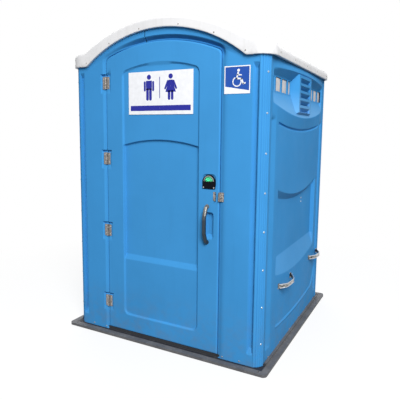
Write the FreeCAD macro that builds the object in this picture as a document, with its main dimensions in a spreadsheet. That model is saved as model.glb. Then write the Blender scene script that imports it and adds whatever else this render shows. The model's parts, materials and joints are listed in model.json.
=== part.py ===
import FreeCAD, Part
import math
import os
import Sketcher
from FreeCAD import Placement, Rotation, Vector

# Portable toilet cabin, wheelchair size: a moulded base, four thin moulded walls,
# an arched roof, a hinged door with a turn latch, and the fittings inside.
# +X is to the right seen from the front, the door faces -Y, +Z is up,
# and the origin is the middle of the base on the ground. Lengths are in mm.

SIZES = {
    # Base and walls
    "flange_out": 55,
    "base_corner": 28,
    "flange_thick": 18,
    "floor_top": 40,
    "floor_gap": 1,
    "floor_corner": 66,
    "curb_width": 16,
    "curb_rise": 12,
    "wall_half": 745,
    "wall_skin": 5,
    "wall_top": 2000,
    "corner_leg": 50,
    "corner_radius": 90,
    "return_tail": 4,
    "anchor_inset_x": 58,
    "anchor_inset_y": 27,
    "anchor_radius": 7,
    # Relief of the side walls, measured along Y and Z
    "window_recess_half": 640,
    "window_recess_low": 1677,
    "window_recess_sag": 77,
    "window_recess_high": 1885,
    "window_recess_rise": 20,
    "window_recess_depth": 25,
    "groove_half": 520,
    "groove_end": 1555,
    "groove_sag": 43,
    "groove_width": 10,
    "groove_depth": 6,
    "field_half": 500,
    "field_high": 1130,
    "field_high_sag": 73,
    "field_low": 555,
    "field_low_sag": 55,
    "field_depth": 22,
    "side_groove_y": 622,
    "side_groove_half": 16,
    "side_groove_low": 95,
    "side_groove_high": 1565,
    "side_groove_depth": 8,
    # Louvre box and window panes of the side walls
    "louvre_half": 160,
    "louvre_low": 1615,
    "louvre_high": 1900,
    "louvre_face": 773,
    "slot_half": 130,
    "slot_height": 30,
    "slot_pitch": 51,
    "slot_first": 1655,
    "slot_count": 5,
    "blade_thick": 4,
    "blade_run": 14,
    "pane_low": 1754,
    "pane_high": 1841,
    "pane_thick": 4,
    "pane_border": 7,
    "pane_gap": 1,
    "pane_a_start": 225,
    "pane_a_end": 270,
    "pane_b_start": 300,
    "pane_b_end": 405,
    "pane_c_start": 430,
    "pane_c_end": 530,
    "pane_d_start": 560,
    "pane_d_end": 630,
    # Corner rivets, turned from the front or rear face toward the side
    "rivet_turn": 54,
    "rivet_first": 169,
    "rivet_pitch": 240,
    "rivet_count": 8,
    "rivet_head": 6.5,
    "rivet_rise": 2.5,
    "rivet_shank": 2.4,
    "rivet_length": 14,
    "nest_gap": 0.3,
    "nest_tail": 25,
    "flange_root": 12,
    "flange_set": 2,
    "bite": 1,
    # Roof
    "roof_over_x": 30,
    "roof_over_y": 23,
    "roof_corner": 110,
    "rim_drop": 53,
    "rim_arch_half": 610,
    "rim_arch_rise": 216,
    "ear_rise": 37,
    "ear_half": 620,
    "roof_rise": 188,
    "rim_depth": 70,
    "rim_step": 13,
    "rim_round": 50,
    "roof_skin": 6,
    "roof_fit": 0.5,
    "roof_seat": 25,
    "lap": 38,
    # Front frame and door opening
    "seam_x": -121,
    "door_centre": -8,
    "door_half": 447,
    "door_foot": 44,
    "door_spring": 1990,
    "door_peak": 2083,
    "door_corner": 45,
    "door_gap": 3,
    "door_recess": 4,
    "door_depth": 30,
    "stop_reach": 15,
    "stop_gap": 3,
    "trim_room": 10,
    "jamb_groove_x": 662,
    "jamb_groove_half": 22,
    "jamb_groove_low": 95,
    "jamb_groove_high": 1905,
    "jamb_groove_depth": 14,
    # Door relief
    "relief_centre": -12,
    "relief_half": 304,
    "relief_low": 160,
    "relief_spring": 1900,
    "relief_peak": 1950,
    "relief_corner": 45,
    "relief_depth": 9,
    "deep_low": 596,
    "deep_spring": 1400,
    "deep_peak": 1441,
    "deep_corner": 6,
    "deep_depth": 20,
    # Hinges
    "hinge_axis_back": -2,
    "hinge_z_1": 1829,
    "hinge_z_2": 1299,
    "hinge_z_3": 775,
    "hinge_z_4": 238,
    "leaf_width": 30,
    "leaf_height": 85,
    "leaf_thick": 3,
    "knuckle_radius": 6.5,
    "knuckle_gap": 0.5,
    "hinge_pin_radius": 3,
    "pin_head_share": 1.8,
    "running_gap": 0.05,
    "pocket_width": 42,
    "pocket_height": 140,
    # Screws
    "screw_head": 5,
    "screw_rise": 2.5,
    "screw_shank": 2.2,
    "screw_length": 9,
    "screw_gap": 0.3,
    "head_share": 0.6,
    "leaf_screw_out": 20,
    "leaf_screw_rise": 27,
    "base_screw_z": 35.5,
    "base_screw_first": -600,
    "base_screw_pitch": 240,
    "base_screw_count": 6,
    "base_screw_length": 18,
    "roof_screw_rise": 24,
    "roof_screw_length": 38,
    "side_screw_pitch": 310,
    "ear_screw_x": 607,
    "arch_screw_far": 400,
    "arch_screw_near": 150,
    "arch_screw_lift": 13,
    # Latch and indicator
    "latch_x": 367,
    "latch_z": 1180,
    "dial_radius": 33,
    "dial_thick": 2,
    "dial_room": 3,
    "window_radius": 30,
    "window_sill": 2,
    "window_edge": 1,
    "housing_half": 45,
    "housing_low": 1136,
    "housing_thick": 12,
    "housing_pocket": 7,
    "pocket_border": 4,
    "lens_set": 1,
    "lens_thick": 3,
    "lens_gap": 0.2,
    "spindle_radius": 4.5,
    "crank_radius": 14,
    "crank_pin": 3,
    "crank_slack": 3.2,
    "hub_radius": 20,
    "hub_thick": 5,
    "hub_gap": 0.5,
    "knob_length": 44,
    "knob_width": 12,
    "knob_height": 18,
    "bolt_height": 14,
    "bolt_thick": 8,
    "bolt_head_half": 21,
    "bolt_fit": 0.4,
    "bolt_clear": 1,
    "guide_wall": 3,
    "keeper_height": 60,
    "keeper_width": 22,
    "keeper_thick": 3,
    # Signs
    "sign_left": -262,
    "sign_right": 243,
    "sign_low": 1608,
    "sign_high": 1890,
    "sign_thick": 2,
    "jamb_sign_left": 466,
    "jamb_sign_right": 634,
    "jamb_sign_low": 1725,
    "jamb_sign_high": 1889,
    "jamb_sign_thick": 1,
    # Handles and hasp on the door
    "handle_x": 356,
    "handle_high": 1020,
    "handle_low": 787,
    "handle_bar": 10,
    "handle_stub": 16,
    "inner_handle_stub": 30,
    "handle_out": 46,
    "inner_handle_out": 62,
    "handle_rake": 50,
    "handle_bend": 14,
    "foot_plate": 15,
    "foot_plate_thick": 4,
    "finger_low": 807,
    "finger_high": 983,
    "finger_left": 345,
    "finger_right": 401,
    "finger_depth": 22,
    "finger_corner": 20,
    "hasp_z": 1089,
    "hasp_height": 58,
    "hasp_door_width": 20,
    "hasp_door_right": 419,
    "hasp_jamb_width": 33,
    "hasp_thick": 2,
    "hasp_tab": 12,
    "hasp_eye": 4,
    "hasp_screw_share": 0.6,
    # Lifting handles on the side walls
    "lift_half": 153,
    "lift_front_y": -268,
    "lift_rear_y": 536,
    "lift_z": 470,
    "lift_out": 54,
    "lift_drop": 48,
    "lift_inset": 26,
    "lift_strap": 5,
    "lift_width": 30,
    "lift_foot": 34,
    # Waste tank, seat and lid
    "tank_left": -712,
    "tank_right": -30,
    "tank_front": 175,
    "tank_back": 712,
    "tank_top": 462,
    "tank_wall": 5,
    "tank_corner": 45,
    "seat_x": -325,
    "seat_y": 400,
    "seat_half_x": 190,
    "seat_half_y": 222,
    "seat_hole_x": 115,
    "seat_hole_y": 145,
    "seat_thick": 18,
    "seat_flat": 4,
    "seat_gap": 0.3,
    "lid_thick": 9,
    "lid_angle": 95,
    "seat_pin_radius": 5,
    "seat_pin_back": 24,
    "seat_pin_rise": 16,
    "lug_width": 15,
    "lug_gap": 1,
    "lug_radius": 12,
    "lug_first": 52,
    "lug_root": 34,
    "lug_foot": 2,
    "vent_x": -600,
    "vent_y": 640,
    "vent_radius": 55,
    "vent_wall": 4,
    "vent_over": 203,
    "vent_fit": 0.5,
    "cap_radius": 92,
    "cap_crown": 37,
    "cap_rise": 19,
    "cap_skirt": 12,
    "cap_gap": 36,
    "cap_collar": 22,
    "cap_collar_tall": 8,
    "cap_post": 5,
    # Fittings inside
    "bar_radius": 16,
    "bar_out": 75,
    "bar_bend": 40,
    "bar_z": 800,
    "bar_flange": 38,
    "bar_flange_thick": 5,
    "side_bar_front": -150,
    "side_bar_back": 450,
    "rear_bar_left": -60,
    "rear_bar_right": 440,
    "paper_y": 60,
    "paper_z": 620,
    "paper_half": 55,
    "paper_radius": 52,
    "paper_core": 20,
    "holder_gap": 4,
    "holder_sheet": 3,
    "holder_out": 62,
    "paper_rod": 8,
    "hook_y": 250,
    "hook_z": 1380,
    "hook_plate": 22,
    "hook_peg": 6,
    "hook_out": 45,
    "hook_ball": 11,
    "hook_ball_long": 8,
}

doc = FreeCAD.newDocument("toilet_cabin")


class Dim:
    """A size with its value and the sheet formula that gives it."""

    def __init__(self, value, text):
        self.value = float(value)
        self.text = text

    def __add__(self, other):
        other = as_dim(other)
        return Dim(self.value + other.value, f"({self.text} + {other.text})")

    def __sub__(self, other):
        other = as_dim(other)
        return Dim(self.value - other.value, f"({self.text} - {other.text})")

    def __mul__(self, other):
        other = as_dim(other)
        return Dim(self.value * other.value, f"({self.text} * {other.text})")

    def __truediv__(self, other):
        other = as_dim(other)
        return Dim(self.value / other.value, f"({self.text} / {other.text})")

    def __neg__(self):
        return Dim(-self.value, f"(0 - {self.text})")

    __radd__ = __add__
    __rmul__ = __mul__

    def __rsub__(self, other):
        return as_dim(other) - self

    def root(self):
        """Square root."""
        return Dim(math.sqrt(self.value), f"sqrt({self.text})")


def as_dim(number):
    return number if isinstance(number, Dim) else Dim(number, f"{float(number):.6f}")


class Sizes:
    """Reads a driving size by name, as a Dim bound to its cell."""

    def __getattr__(self, name):
        return Dim(SIZES[name], f"sizes.{name}")


s = Sizes()


def rim_low():
    return s.wall_top - s.rim_drop


def rim_arch_peak():
    return rim_low() + s.rim_arch_rise


def ear_top():
    return s.wall_top + s.ear_rise


def roof_peak():
    return ear_top() + s.roof_rise


def vent_top():
    return ear_top() + s.vent_over


def corner_middle():
    """Distance of a wall corner's arc centre from both middle planes."""
    chord = s.corner_leg * s.corner_leg / 2
    back = ((s.corner_radius * s.corner_radius - chord) / 2).root()
    return s.wall_half - s.corner_leg / 2 - back


def corner_turn(depth):
    """Where the arc at a depth behind the wall's outer face starts, from the middle."""
    radius = s.corner_radius - depth
    across = s.wall_half - depth - corner_middle()
    return corner_middle() + (radius * radius - across * across).root()


def make_sheet():
    """Write every driving size into the sheet, one row each."""
    sheet = doc.addObject("Spreadsheet::Sheet", "sizes")
    for row, (name, value) in enumerate(SIZES.items(), start=1):
        sheet.set(f"A{row}", name)
        sheet.set(f"B{row}", str(value))
        sheet.setAlias(f"B{row}", name)
    doc.recompute()


# Outlines: lists of corners joined by straight lines or arcs

class Corner:
    """A corner; radius and turn describe the arc that leaves it (turn +1 is anticlockwise)."""

    def __init__(self, x, y, radius=None, turn=1):
        self.x = as_dim(x)
        self.y = as_dim(y)
        self.radius = radius
        self.turn = turn

    def point(self):
        return Vector(self.x.value, self.y.value, 0)


class Ring:
    """A full circle."""

    def __init__(self, x, y, radius):
        self.x = as_dim(x)
        self.y = as_dim(y)
        self.radius = as_dim(radius)


def rectangle(x_low, x_high, y_low, y_high):
    return [Corner(x_low, y_low), Corner(x_high, y_low), Corner(x_high, y_high), Corner(x_low, y_high)]


def round_rectangle(x_low, x_high, y_low, y_high, radius):
    """Rectangle with its four corners rounded."""
    x_low, x_high, y_low, y_high = as_dim(x_low), as_dim(x_high), as_dim(y_low), as_dim(y_high)
    return [
        Corner(x_low + radius, y_low), Corner(x_high - radius, y_low, radius),
        Corner(x_high, y_low + radius), Corner(x_high, y_high - radius, radius),
        Corner(x_high - radius, y_high), Corner(x_low + radius, y_high, radius),
        Corner(x_low, y_high - radius), Corner(x_low, y_low + radius, radius),
    ]


def chord_radius(half, rise):
    """Radius of the arc with this half chord and rise."""
    return (half * half + rise * rise) / (rise * 2)


class Arch:
    """An upright doorway shape: two vertical sides under one arc, with rounded shoulders."""

    def __init__(self, centre, half, foot, spring, peak, shoulder):
        self.centre = centre
        self.half = half
        self.foot = foot
        self.radius = chord_radius(half, peak - spring)
        self.middle = peak - self.radius
        self.shoulder = shoulder

    def shifted(self, grow, foot=None):
        """The same arch grown outward by a constant distance."""
        arch = Arch.__new__(Arch)
        arch.centre = self.centre
        arch.half = self.half + grow
        arch.foot = self.foot - grow if foot is None else foot
        arch.radius = self.radius + grow
        arch.middle = self.middle
        arch.shoulder = self.shoulder + grow
        return arch

    def outline(self):
        inner = self.radius - self.shoulder
        reach = self.half - self.shoulder
        rise = (inner * inner - reach * reach).root()
        ratio = self.radius / inner
        left, right = self.centre - self.half, self.centre + self.half
        tip_x, tip_y = reach * ratio, self.middle + rise * ratio
        side_top = self.middle + rise
        return [
            Corner(left, self.foot), Corner(right, self.foot),
            Corner(right, side_top, self.shoulder), Corner(self.centre + tip_x, tip_y, self.radius),
            Corner(self.centre - tip_x, tip_y, self.shoulder), Corner(left, side_top),
        ]


def smile_band(half, top, top_sag, bottom, bottom_sag):
    """Field between two arcs that hang down in the middle by their sags."""
    return [
        Corner(-half, bottom, chord_radius(half, bottom_sag), 1), Corner(half, bottom),
        Corner(half, top, chord_radius(half, top_sag), -1), Corner(-half, top),
    ]


# Features

def bind(item, prop, dim):
    item.setExpression(prop, as_dim(dim).text)


def place(item, x, y, z, rotation=None):
    """Set a placement whose three coordinates follow the sheet."""
    x, y, z = as_dim(x), as_dim(y), as_dim(z)
    item.Placement = Placement(Vector(x.value, y.value, z.value), rotation or Rotation())
    for axis, dim in zip("xyz", (x, y, z)):
        item.setExpression(f"Placement.Base.{axis}", dim.text)


def arc_between(start, end, radius, turn):
    """Minor arc from start to end as sketch geometry, with whether it runs start to end."""
    chord = end - start
    middle = (start + end) * 0.5
    reach = math.sqrt(max(radius * radius - chord.Length ** 2 / 4, 0))
    side = Vector(-chord.y, chord.x, 0).normalize() * reach * turn
    centre = middle + side
    first, last = (start, end) if turn > 0 else (end, start)
    angle_a = math.atan2(first.y - centre.y, first.x - centre.x)
    angle_b = math.atan2(last.y - centre.y, last.x - centre.x)
    return Part.ArcOfCircle(Part.Circle(centre, Vector(0, 0, 1), radius), angle_a, angle_b)


def hold_point(sketch, geometry, end, corner):
    """Tie one end of a line or arc to its place."""
    for kind, dim in (("DistanceX", corner.x), ("DistanceY", corner.y)):
        index = sketch.addConstraint(Sketcher.Constraint(kind, -1, 1, geometry, end, dim.value))
        sketch.setExpression(f"Constraints[{index}]", dim.text)


def hold_radius(sketch, geometry, radius):
    index = sketch.addConstraint(Sketcher.Constraint("Radius", geometry, as_dim(radius).value))
    sketch.setExpression(f"Constraints[{index}]", as_dim(radius).text)


def draw_chain(sketch, corners, closed):
    """Draw a chain of lines and arcs, each corner tied to the sheet."""
    edges = len(corners) if closed else len(corners) - 1
    ends = []
    for number in range(edges):
        corner = corners[number]
        after = corners[(number + 1) % len(corners)]
        if corner.radius is None:
            index = sketch.addGeometry(Part.LineSegment(corner.point(), after.point()), False)
            ends.append((index, 1, 2))
        else:
            radius = as_dim(corner.radius)
            arc = arc_between(corner.point(), after.point(), radius.value, corner.turn)
            index = sketch.addGeometry(arc, False)
            ends.append((index, 1, 2) if corner.turn > 0 else (index, 2, 1))
    for number, (index, first, last) in enumerate(ends):
        hold_point(sketch, index, first, corners[number])
        if closed or number < edges - 1:
            after = ends[(number + 1) % edges]
            sketch.addConstraint(Sketcher.Constraint("Coincident", index, last, after[0], after[1]))
        else:
            hold_point(sketch, index, last, corners[-1])
        if corners[number].radius is not None:
            hold_radius(sketch, index, corners[number].radius)


class Moulding:
    """A sub-part built as a body from sketches on its own origin planes.

    Levels are coordinates along the plane's axis: Z for XY, Y for XZ and X for YZ.
    """

    NORMAL = {"XY": 1, "XZ": -1, "YZ": 1}

    def __init__(self, label):
        self.body = doc.addObject("PartDesign::Body", label)
        self.body.Label = label

    def sketch(self, plane, level, loops):
        sketch = self.body.newObject("Sketcher::SketchObject", "outline")
        planes = [f for f in self.body.Origin.OriginFeatures if f.Role == f"{plane}_Plane"]
        sketch.AttachmentSupport = [(planes[0], "")]
        sketch.MapMode = "FlatFace"
        offset = as_dim(level) * self.NORMAL[plane]
        sketch.AttachmentOffset = Placement(Vector(0, 0, offset.value), Rotation())
        sketch.setExpression("AttachmentOffset.Base.z", offset.text)
        for loop in loops:
            if isinstance(loop, Ring):
                centre = Vector(loop.x.value, loop.y.value, 0)
                index = sketch.addGeometry(Part.Circle(centre, Vector(0, 0, 1), loop.radius.value), False)
                hold_point(sketch, index, 3, loop)
                hold_radius(sketch, index, loop.radius)
            else:
                draw_chain(sketch, loop, True)
        return sketch

    def pad(self, plane, low, high, *loops):
        """Add material between two levels."""
        low, high = as_dim(low), as_dim(high)
        start = low if self.NORMAL[plane] > 0 else high
        feature = self.body.newObject("PartDesign::Pad", "pad")
        feature.Profile = self.sketch(plane, start, loops)
        self.finish(feature, high - low)

    def pocket(self, plane, low, high, *loops):
        """Take material away between two levels."""
        low, high = as_dim(low), as_dim(high)
        start = high if self.NORMAL[plane] > 0 else low
        feature = self.body.newObject("PartDesign::Pocket", "pocket")
        feature.Profile = self.sketch(plane, start, loops)
        self.finish(feature, high - low)

    def finish(self, feature, length):
        feature.Length = length.value
        bind(feature, "Length", length)
        self.body.Tip = feature

    def loft(self, plane, low, low_loop, high, high_loop):
        """Add a straight-sided loft between outlines at two levels."""
        first = self.sketch(plane, low, [low_loop])
        second = self.sketch(plane, high, [high_loop])
        feature = self.body.newObject("PartDesign::AdditiveLoft", "loft")
        feature.Profile = first
        feature.Sections = [second]
        feature.Ruled = True
        self.body.Tip = feature

    def pipe(self, plane, level, path, end_plane, end_level, ring):
        """Add a round bar along a path that starts square to the end plane."""
        spine = self.body.newObject("Sketcher::SketchObject", "path")
        planes = [f for f in self.body.Origin.OriginFeatures if f.Role == f"{plane}_Plane"]
        spine.AttachmentSupport = [(planes[0], "")]
        spine.MapMode = "FlatFace"
        offset = as_dim(level) * self.NORMAL[plane]
        spine.AttachmentOffset = Placement(Vector(0, 0, offset.value), Rotation())
        spine.setExpression("AttachmentOffset.Base.z", offset.text)
        draw_chain(spine, path, False)
        section = self.sketch(end_plane, end_level, [ring])
        doc.recompute()
        feature = self.body.newObject("PartDesign::AdditivePipe", "pipe")
        feature.Profile = section
        feature.Spine = (spine, [f"Edge{n + 1}" for n in range(len(path) - 1)])
        self.body.Tip = feature


def bent_path(points, bends):
    """Open path through the points, with tangent arcs of the given radii at the inner ones."""
    path = [Corner(*points[0])]
    for number in range(1, len(points) - 1):
        here, radius = points[number], as_dim(bends[number - 1])
        arms = []
        for other in (points[number - 1], points[number + 1]):
            along_x, along_y = as_dim(other[0]) - here[0], as_dim(other[1]) - here[1]
            length = (along_x * along_x + along_y * along_y).root()
            arms.append((along_x / length, along_y / length))
        closing = arms[0][0] * arms[1][0] + arms[0][1] * arms[1][1]
        tangent = radius * ((closing + 1) / (1 - closing)).root()
        turn = arms[0][1].value * arms[1][0].value - arms[0][0].value * arms[1][1].value
        path.append(Corner(arms[0][0] * tangent + here[0], arms[0][1] * tangent + here[1],
                           radius, 1 if turn > 0 else -1))
        path.append(Corner(arms[1][0] * tangent + here[0], arms[1][1] * tangent + here[1]))
    path.append(Corner(*points[-1]))
    return path


def turn_to(direction):
    return Rotation(Vector(0, 0, 1), Vector(*direction))


def cylinder(start, direction, radius, length):
    item = doc.addObject("Part::Cylinder", "round")
    item.Radius = as_dim(radius).value
    item.Height = as_dim(length).value
    bind(item, "Radius", radius)
    bind(item, "Height", length)
    place(item, *start, turn_to(direction))
    return item


def cone(start, direction, radius_start, radius_end, length):
    item = doc.addObject("Part::Cone", "taper")
    for prop, dim in (("Radius1", radius_start), ("Radius2", radius_end), ("Height", length)):
        setattr(item, prop, as_dim(dim).value)
        bind(item, prop, dim)
    place(item, *start, turn_to(direction))
    return item


def block(x_low, x_high, y_low, y_high, z_low, z_high):
    item = doc.addObject("Part::Box", "block")
    spans = (("Length", x_low, x_high), ("Width", y_low, y_high), ("Height", z_low, z_high))
    for prop, low, high in spans:
        span = as_dim(high) - low
        setattr(item, prop, span.value)
        bind(item, prop, span)
    place(item, x_low, y_low, z_low)
    return item


def fused(items, name="joined"):
    item = doc.addObject("Part::MultiFuse", name)
    item.Shapes = items
    return item


def grouped(items, name="group"):
    """Several solids that touch, kept as one piece."""
    item = doc.addObject("Part::Compound", name)
    item.Links = items
    return item


def cut(base, tools, name="trimmed"):
    item = doc.addObject("Part::Cut", name)
    item.Base = base
    item.Tool = fused(tools, "tools") if len(tools) > 1 else tools[0]
    return item


def mirrored(source, label):
    """The same sub-part on the other side of the middle plane X = 0."""
    item = doc.addObject("Part::Mirroring", label)
    item.Source = source
    item.Normal = Vector(1, 0, 0)
    item.Label = label
    return item


pieces = []


def keep(item, label):
    """Name a finished sub-part and put it on the list to be written."""
    item.Label = label
    pieces.append(item)
    return item


# Fasteners: a list of seats, each a point on the surface and the outward direction

def stud(seat, head, rise, shank, length):
    """A low domed head on a round shank, as one solid."""
    (x, y, z), outward = seat
    inward = tuple(-c for c in outward)
    dome = cone((x, y, z), outward, head, head * s.head_share, rise)
    pin = cylinder((x, y, z), inward, shank, length)
    return fused([dome, pin], "stud")


def stud_group(label, seats, head, rise, shank, length):
    group = doc.addObject("Part::Compound", label)
    group.Links = [stud(seat, head, rise, shank, length) for seat in seats]
    return keep(group, label)


def drills(seats, radius, length):
    """Round tools that clear the shanks of the given seats."""
    return [cylinder(point, tuple(-c for c in outward), radius, length) for point, outward in seats]


def drilled(body, seats, radius, length, label):
    return keep(cut(body, drills(seats, radius, length)), label)


def corner_rivet_seats(side_x, side_y):
    """Rivets down one rounded wall corner, square to its arc."""
    turn = math.radians(SIZES["rivet_turn"])
    way_x, way_y = math.sin(turn) * side_x, math.cos(turn) * side_y
    x = corner_middle() * side_x + s.corner_radius * way_x
    y = corner_middle() * side_y + s.corner_radius * way_y
    heights = [s.rivet_first + s.rivet_pitch * number for number in range(SIZES["rivet_count"])]
    return [((x, y, z), (way_x, way_y, 0)) for z in heights]


def base_screw_places():
    return [s.base_screw_first + s.base_screw_pitch * n for n in range(SIZES["base_screw_count"])]


def side_base_seats(side):
    return [((s.wall_half * side, y, s.base_screw_z), (side, 0, 0)) for y in base_screw_places()]


def rear_base_seats():
    return [((x, s.wall_half, s.base_screw_z), (0, 1, 0)) for x in base_screw_places()]


def front_base_seats(side):
    """Two screws at the foot of one front panel."""
    places = (s.base_screw_first, s.base_screw_first + s.base_screw_pitch / 2)
    return [((x * -side, -s.wall_half, s.base_screw_z), (0, -1, 0)) for x in places]


def roof_half_x():
    return s.wall_half + s.roof_over_x


def roof_half_y():
    return s.wall_half + s.roof_over_y


def side_roof_seats(side):
    z = rim_low() + s.roof_screw_rise
    return [((roof_half_x() * side, s.side_screw_pitch * n, z), (side, 0, 0)) for n in range(-2, 3)]


def front_roof_seats(facing):
    """Screws along the arched rim: one in each ear and four just above the arch's lower edge."""
    radius = chord_radius(s.rim_arch_half, s.rim_arch_rise)
    middle = rim_arch_peak() - radius
    line = radius + s.arch_screw_lift
    seats = []
    for side in (-1, 1):
        seats.append((s.ear_screw_x * side, rim_low() + s.roof_screw_rise))
        for out in (s.arch_screw_far, s.arch_screw_near):
            seats.append((out * side, middle + (line * line - out * out).root()))
    return [((x, roof_half_y() * facing, z), (0, facing, 0)) for x, z in seats]


# Base

def floor_base():
    """Flange plate, raised floor, curbs beside the side walls, and four anchor holes."""
    base = Moulding("floor_base_blank")
    half = s.wall_half + s.flange_out
    base.pad("XY", 0, s.flange_thick, round_rectangle(-half, half, -half, half, s.base_corner))
    inner = s.wall_half - s.wall_skin - s.floor_gap
    base.pad("XY", s.flange_thick, s.floor_top,
             round_rectangle(-inner, inner, -inner, inner, s.floor_corner))
    tongue = s.door_half + s.door_centre - s.door_gap
    base.pad("XY", s.flange_thick, s.floor_top, rectangle(-tongue, tongue, -s.wall_half, -s.wall_half / 2))
    curb = s.wall_half - s.corner_leg
    for side in (1, -1):
        edges = (s.wall_half * side, (s.wall_half + s.curb_width) * side)
        low, high = edges if side > 0 else edges[::-1]
        base.pad("XY", s.flange_thick, s.flange_thick + s.curb_rise, rectangle(low, high, -curb, curb))
    for side_x in (-1, 1):
        for side_y in (-1, 1):
            x = (half - s.anchor_inset_x) * side_x
            y = (half - s.anchor_inset_y) * side_y
            base.pocket("XY", 0, s.flange_thick, Ring(x, y, s.anchor_radius))
    seats = side_base_seats(1) + side_base_seats(-1) + rear_base_seats()
    seats += front_base_seats(1) + front_base_seats(-1)
    depth = s.base_screw_length + s.screw_gap
    drilled(base.body, seats, s.screw_shank + s.screw_gap, depth, "floor_base")
    stud_group("base_screws", seats, s.screw_head, s.screw_rise, s.screw_shank, s.base_screw_length)


# Side walls

def pane_spans():
    return [
        (s.pane_a_start, s.pane_a_end), (s.pane_b_start, s.pane_b_end),
        (s.pane_c_start, s.pane_c_end), (s.pane_d_start, s.pane_d_end),
    ]


def side_skin_outline():
    """Plan of a side wall: a straight sheet that turns round both corners and ends in short tails."""
    outer, inner = s.wall_half, s.wall_half - s.wall_skin
    bend, inner_bend = s.corner_radius, s.corner_radius - s.wall_skin
    turn, inner_turn = s.wall_half - s.corner_leg, corner_turn(s.wall_skin)
    tail = turn - s.return_tail
    return [
        Corner(tail, -outer), Corner(turn, -outer, bend), Corner(outer, -turn),
        Corner(outer, turn, bend), Corner(turn, outer), Corner(tail, outer),
        Corner(tail, inner), Corner(inner_turn, inner, inner_bend, -1), Corner(inner, inner_turn),
        Corner(inner, -inner_turn, inner_bend, -1), Corner(inner_turn, -inner), Corner(tail, -inner),
    ]


def window_recess(grow):
    half = s.window_recess_half + grow
    return [
        Corner(-half, s.window_recess_low - grow, chord_radius(half, s.window_recess_sag), 1),
        Corner(half, s.window_recess_low - grow),
        Corner(half, s.window_recess_high + grow, chord_radius(half, s.window_recess_rise), 1),
        Corner(-half, s.window_recess_high + grow),
    ]


def field_recess(grow):
    return smile_band(s.field_half + grow, s.field_high + grow, s.field_high_sag,
                      s.field_low - grow, s.field_low_sag)


def groove_recess(grow):
    return smile_band(s.groove_half + grow, s.groove_end + s.groove_width + grow, s.groove_sag,
                      s.groove_end - grow, s.groove_sag)


def side_groove(way):
    """Upright groove beside one corner, pointed at its foot."""
    def shape(grow):
        y, half = s.side_groove_y * way, s.side_groove_half + grow
        low, high = s.side_groove_low - grow, s.side_groove_high + grow
        point = s.side_groove_half * 2
        return [
            Corner(y, low), Corner(y + half, low + point), Corner(y + half, high),
            Corner(y - half, high), Corner(y - half, low + point),
        ]
    return shape


def sink(wall, plane, face, inward, depth, shape):
    """Press a recess of constant skin into a wall: a boss behind it, then the hollow."""
    skin = s.wall_skin
    back = face + (depth + skin) * inward
    floor = face + depth * inward
    start, end = (face, back) if inward > 0 else (back, face)
    wall.pad(plane, start, end, shape(skin))
    start, end = (face, floor) if inward > 0 else (floor, face)
    wall.pocket(plane, start, end, shape(0))


def right_wall():
    """Right side wall with window recess, louvre box, groove and lower field."""
    wall = Moulding("right_wall_blank")
    wall.pad("XY", s.flange_thick, s.wall_top, side_skin_outline())
    face = s.wall_half
    sink(wall, "YZ", face, -1, s.window_recess_depth, window_recess)
    sink(wall, "YZ", face, -1, s.groove_depth, groove_recess)
    sink(wall, "YZ", face, -1, s.field_depth, field_recess)
    for way in (-1, 1):
        sink(wall, "YZ", face, -1, s.side_groove_depth, side_groove(way))
    back = face - s.window_recess_depth - s.wall_skin
    half, skin = s.louvre_half, s.wall_skin
    wall.pad("YZ", back, s.louvre_face, rectangle(-half, half, s.louvre_low, s.louvre_high))
    wall.pocket("YZ", back, s.louvre_face - skin,
                rectangle(skin - half, half - skin, s.louvre_low + skin, s.louvre_high - skin))
    for number in range(SIZES["slot_count"]):
        low = s.slot_first + s.slot_pitch * number - s.slot_height / 2
        high = low + s.slot_height
        slot = rectangle(-s.slot_half, s.slot_half, low, high)
        wall.pocket("YZ", s.louvre_face - skin, s.louvre_face, slot)
        root = s.louvre_face - skin
        blade = [
            Corner(root, high), Corner(root - s.blade_run, high + s.blade_run),
            Corner(root - s.blade_run, high + s.blade_run + s.blade_thick),
            Corner(root, high + s.blade_thick),
        ]
        wall.pad("XZ", -(half - skin), half - skin, blade)
    floor = face - s.window_recess_depth
    for start, end in pane_spans():
        for side in (1, -1):
            low, high = (start, end) if side > 0 else (-end, -start)
            wall.pocket("YZ", back, floor, rectangle(low, high, s.pane_low, s.pane_high))
    seats = corner_rivet_seats(1, -1) + corner_rivet_seats(1, 1)
    tools = drills(seats, s.rivet_shank + s.screw_gap, s.rivet_length + s.screw_gap)
    tools += drills(side_base_seats(1), s.screw_shank + s.screw_gap, s.base_screw_length)
    tools += drills(side_roof_seats(1), s.screw_shank + s.screw_gap, s.roof_screw_length + s.screw_gap)
    return keep(cut(wall.body, tools), "right_wall")


def window_strip(label, side):
    """Translucent strip behind the wall, with one raised light in each opening."""
    strip = Moulding(label)
    back = s.wall_half - s.window_recess_depth - s.wall_skin
    border, gap = s.pane_border, s.pane_gap
    start, end = s.pane_a_start - border, s.pane_d_end + border
    low, high = (start, end) if side > 0 else (-end, -start)
    sheet = rectangle(low, high, s.pane_low - border, s.pane_high + border)
    strip.pad("YZ", back - s.pane_thick, back, sheet)
    for start, end in pane_spans():
        low, high = (start + gap, end - gap) if side > 0 else (gap - end, -start - gap)
        light = rectangle(low, high, s.pane_low + gap, s.pane_high - gap)
        strip.pad("YZ", back, back + s.pane_thick, light)
    return keep(strip.body, label)


# Front and rear panels

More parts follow.
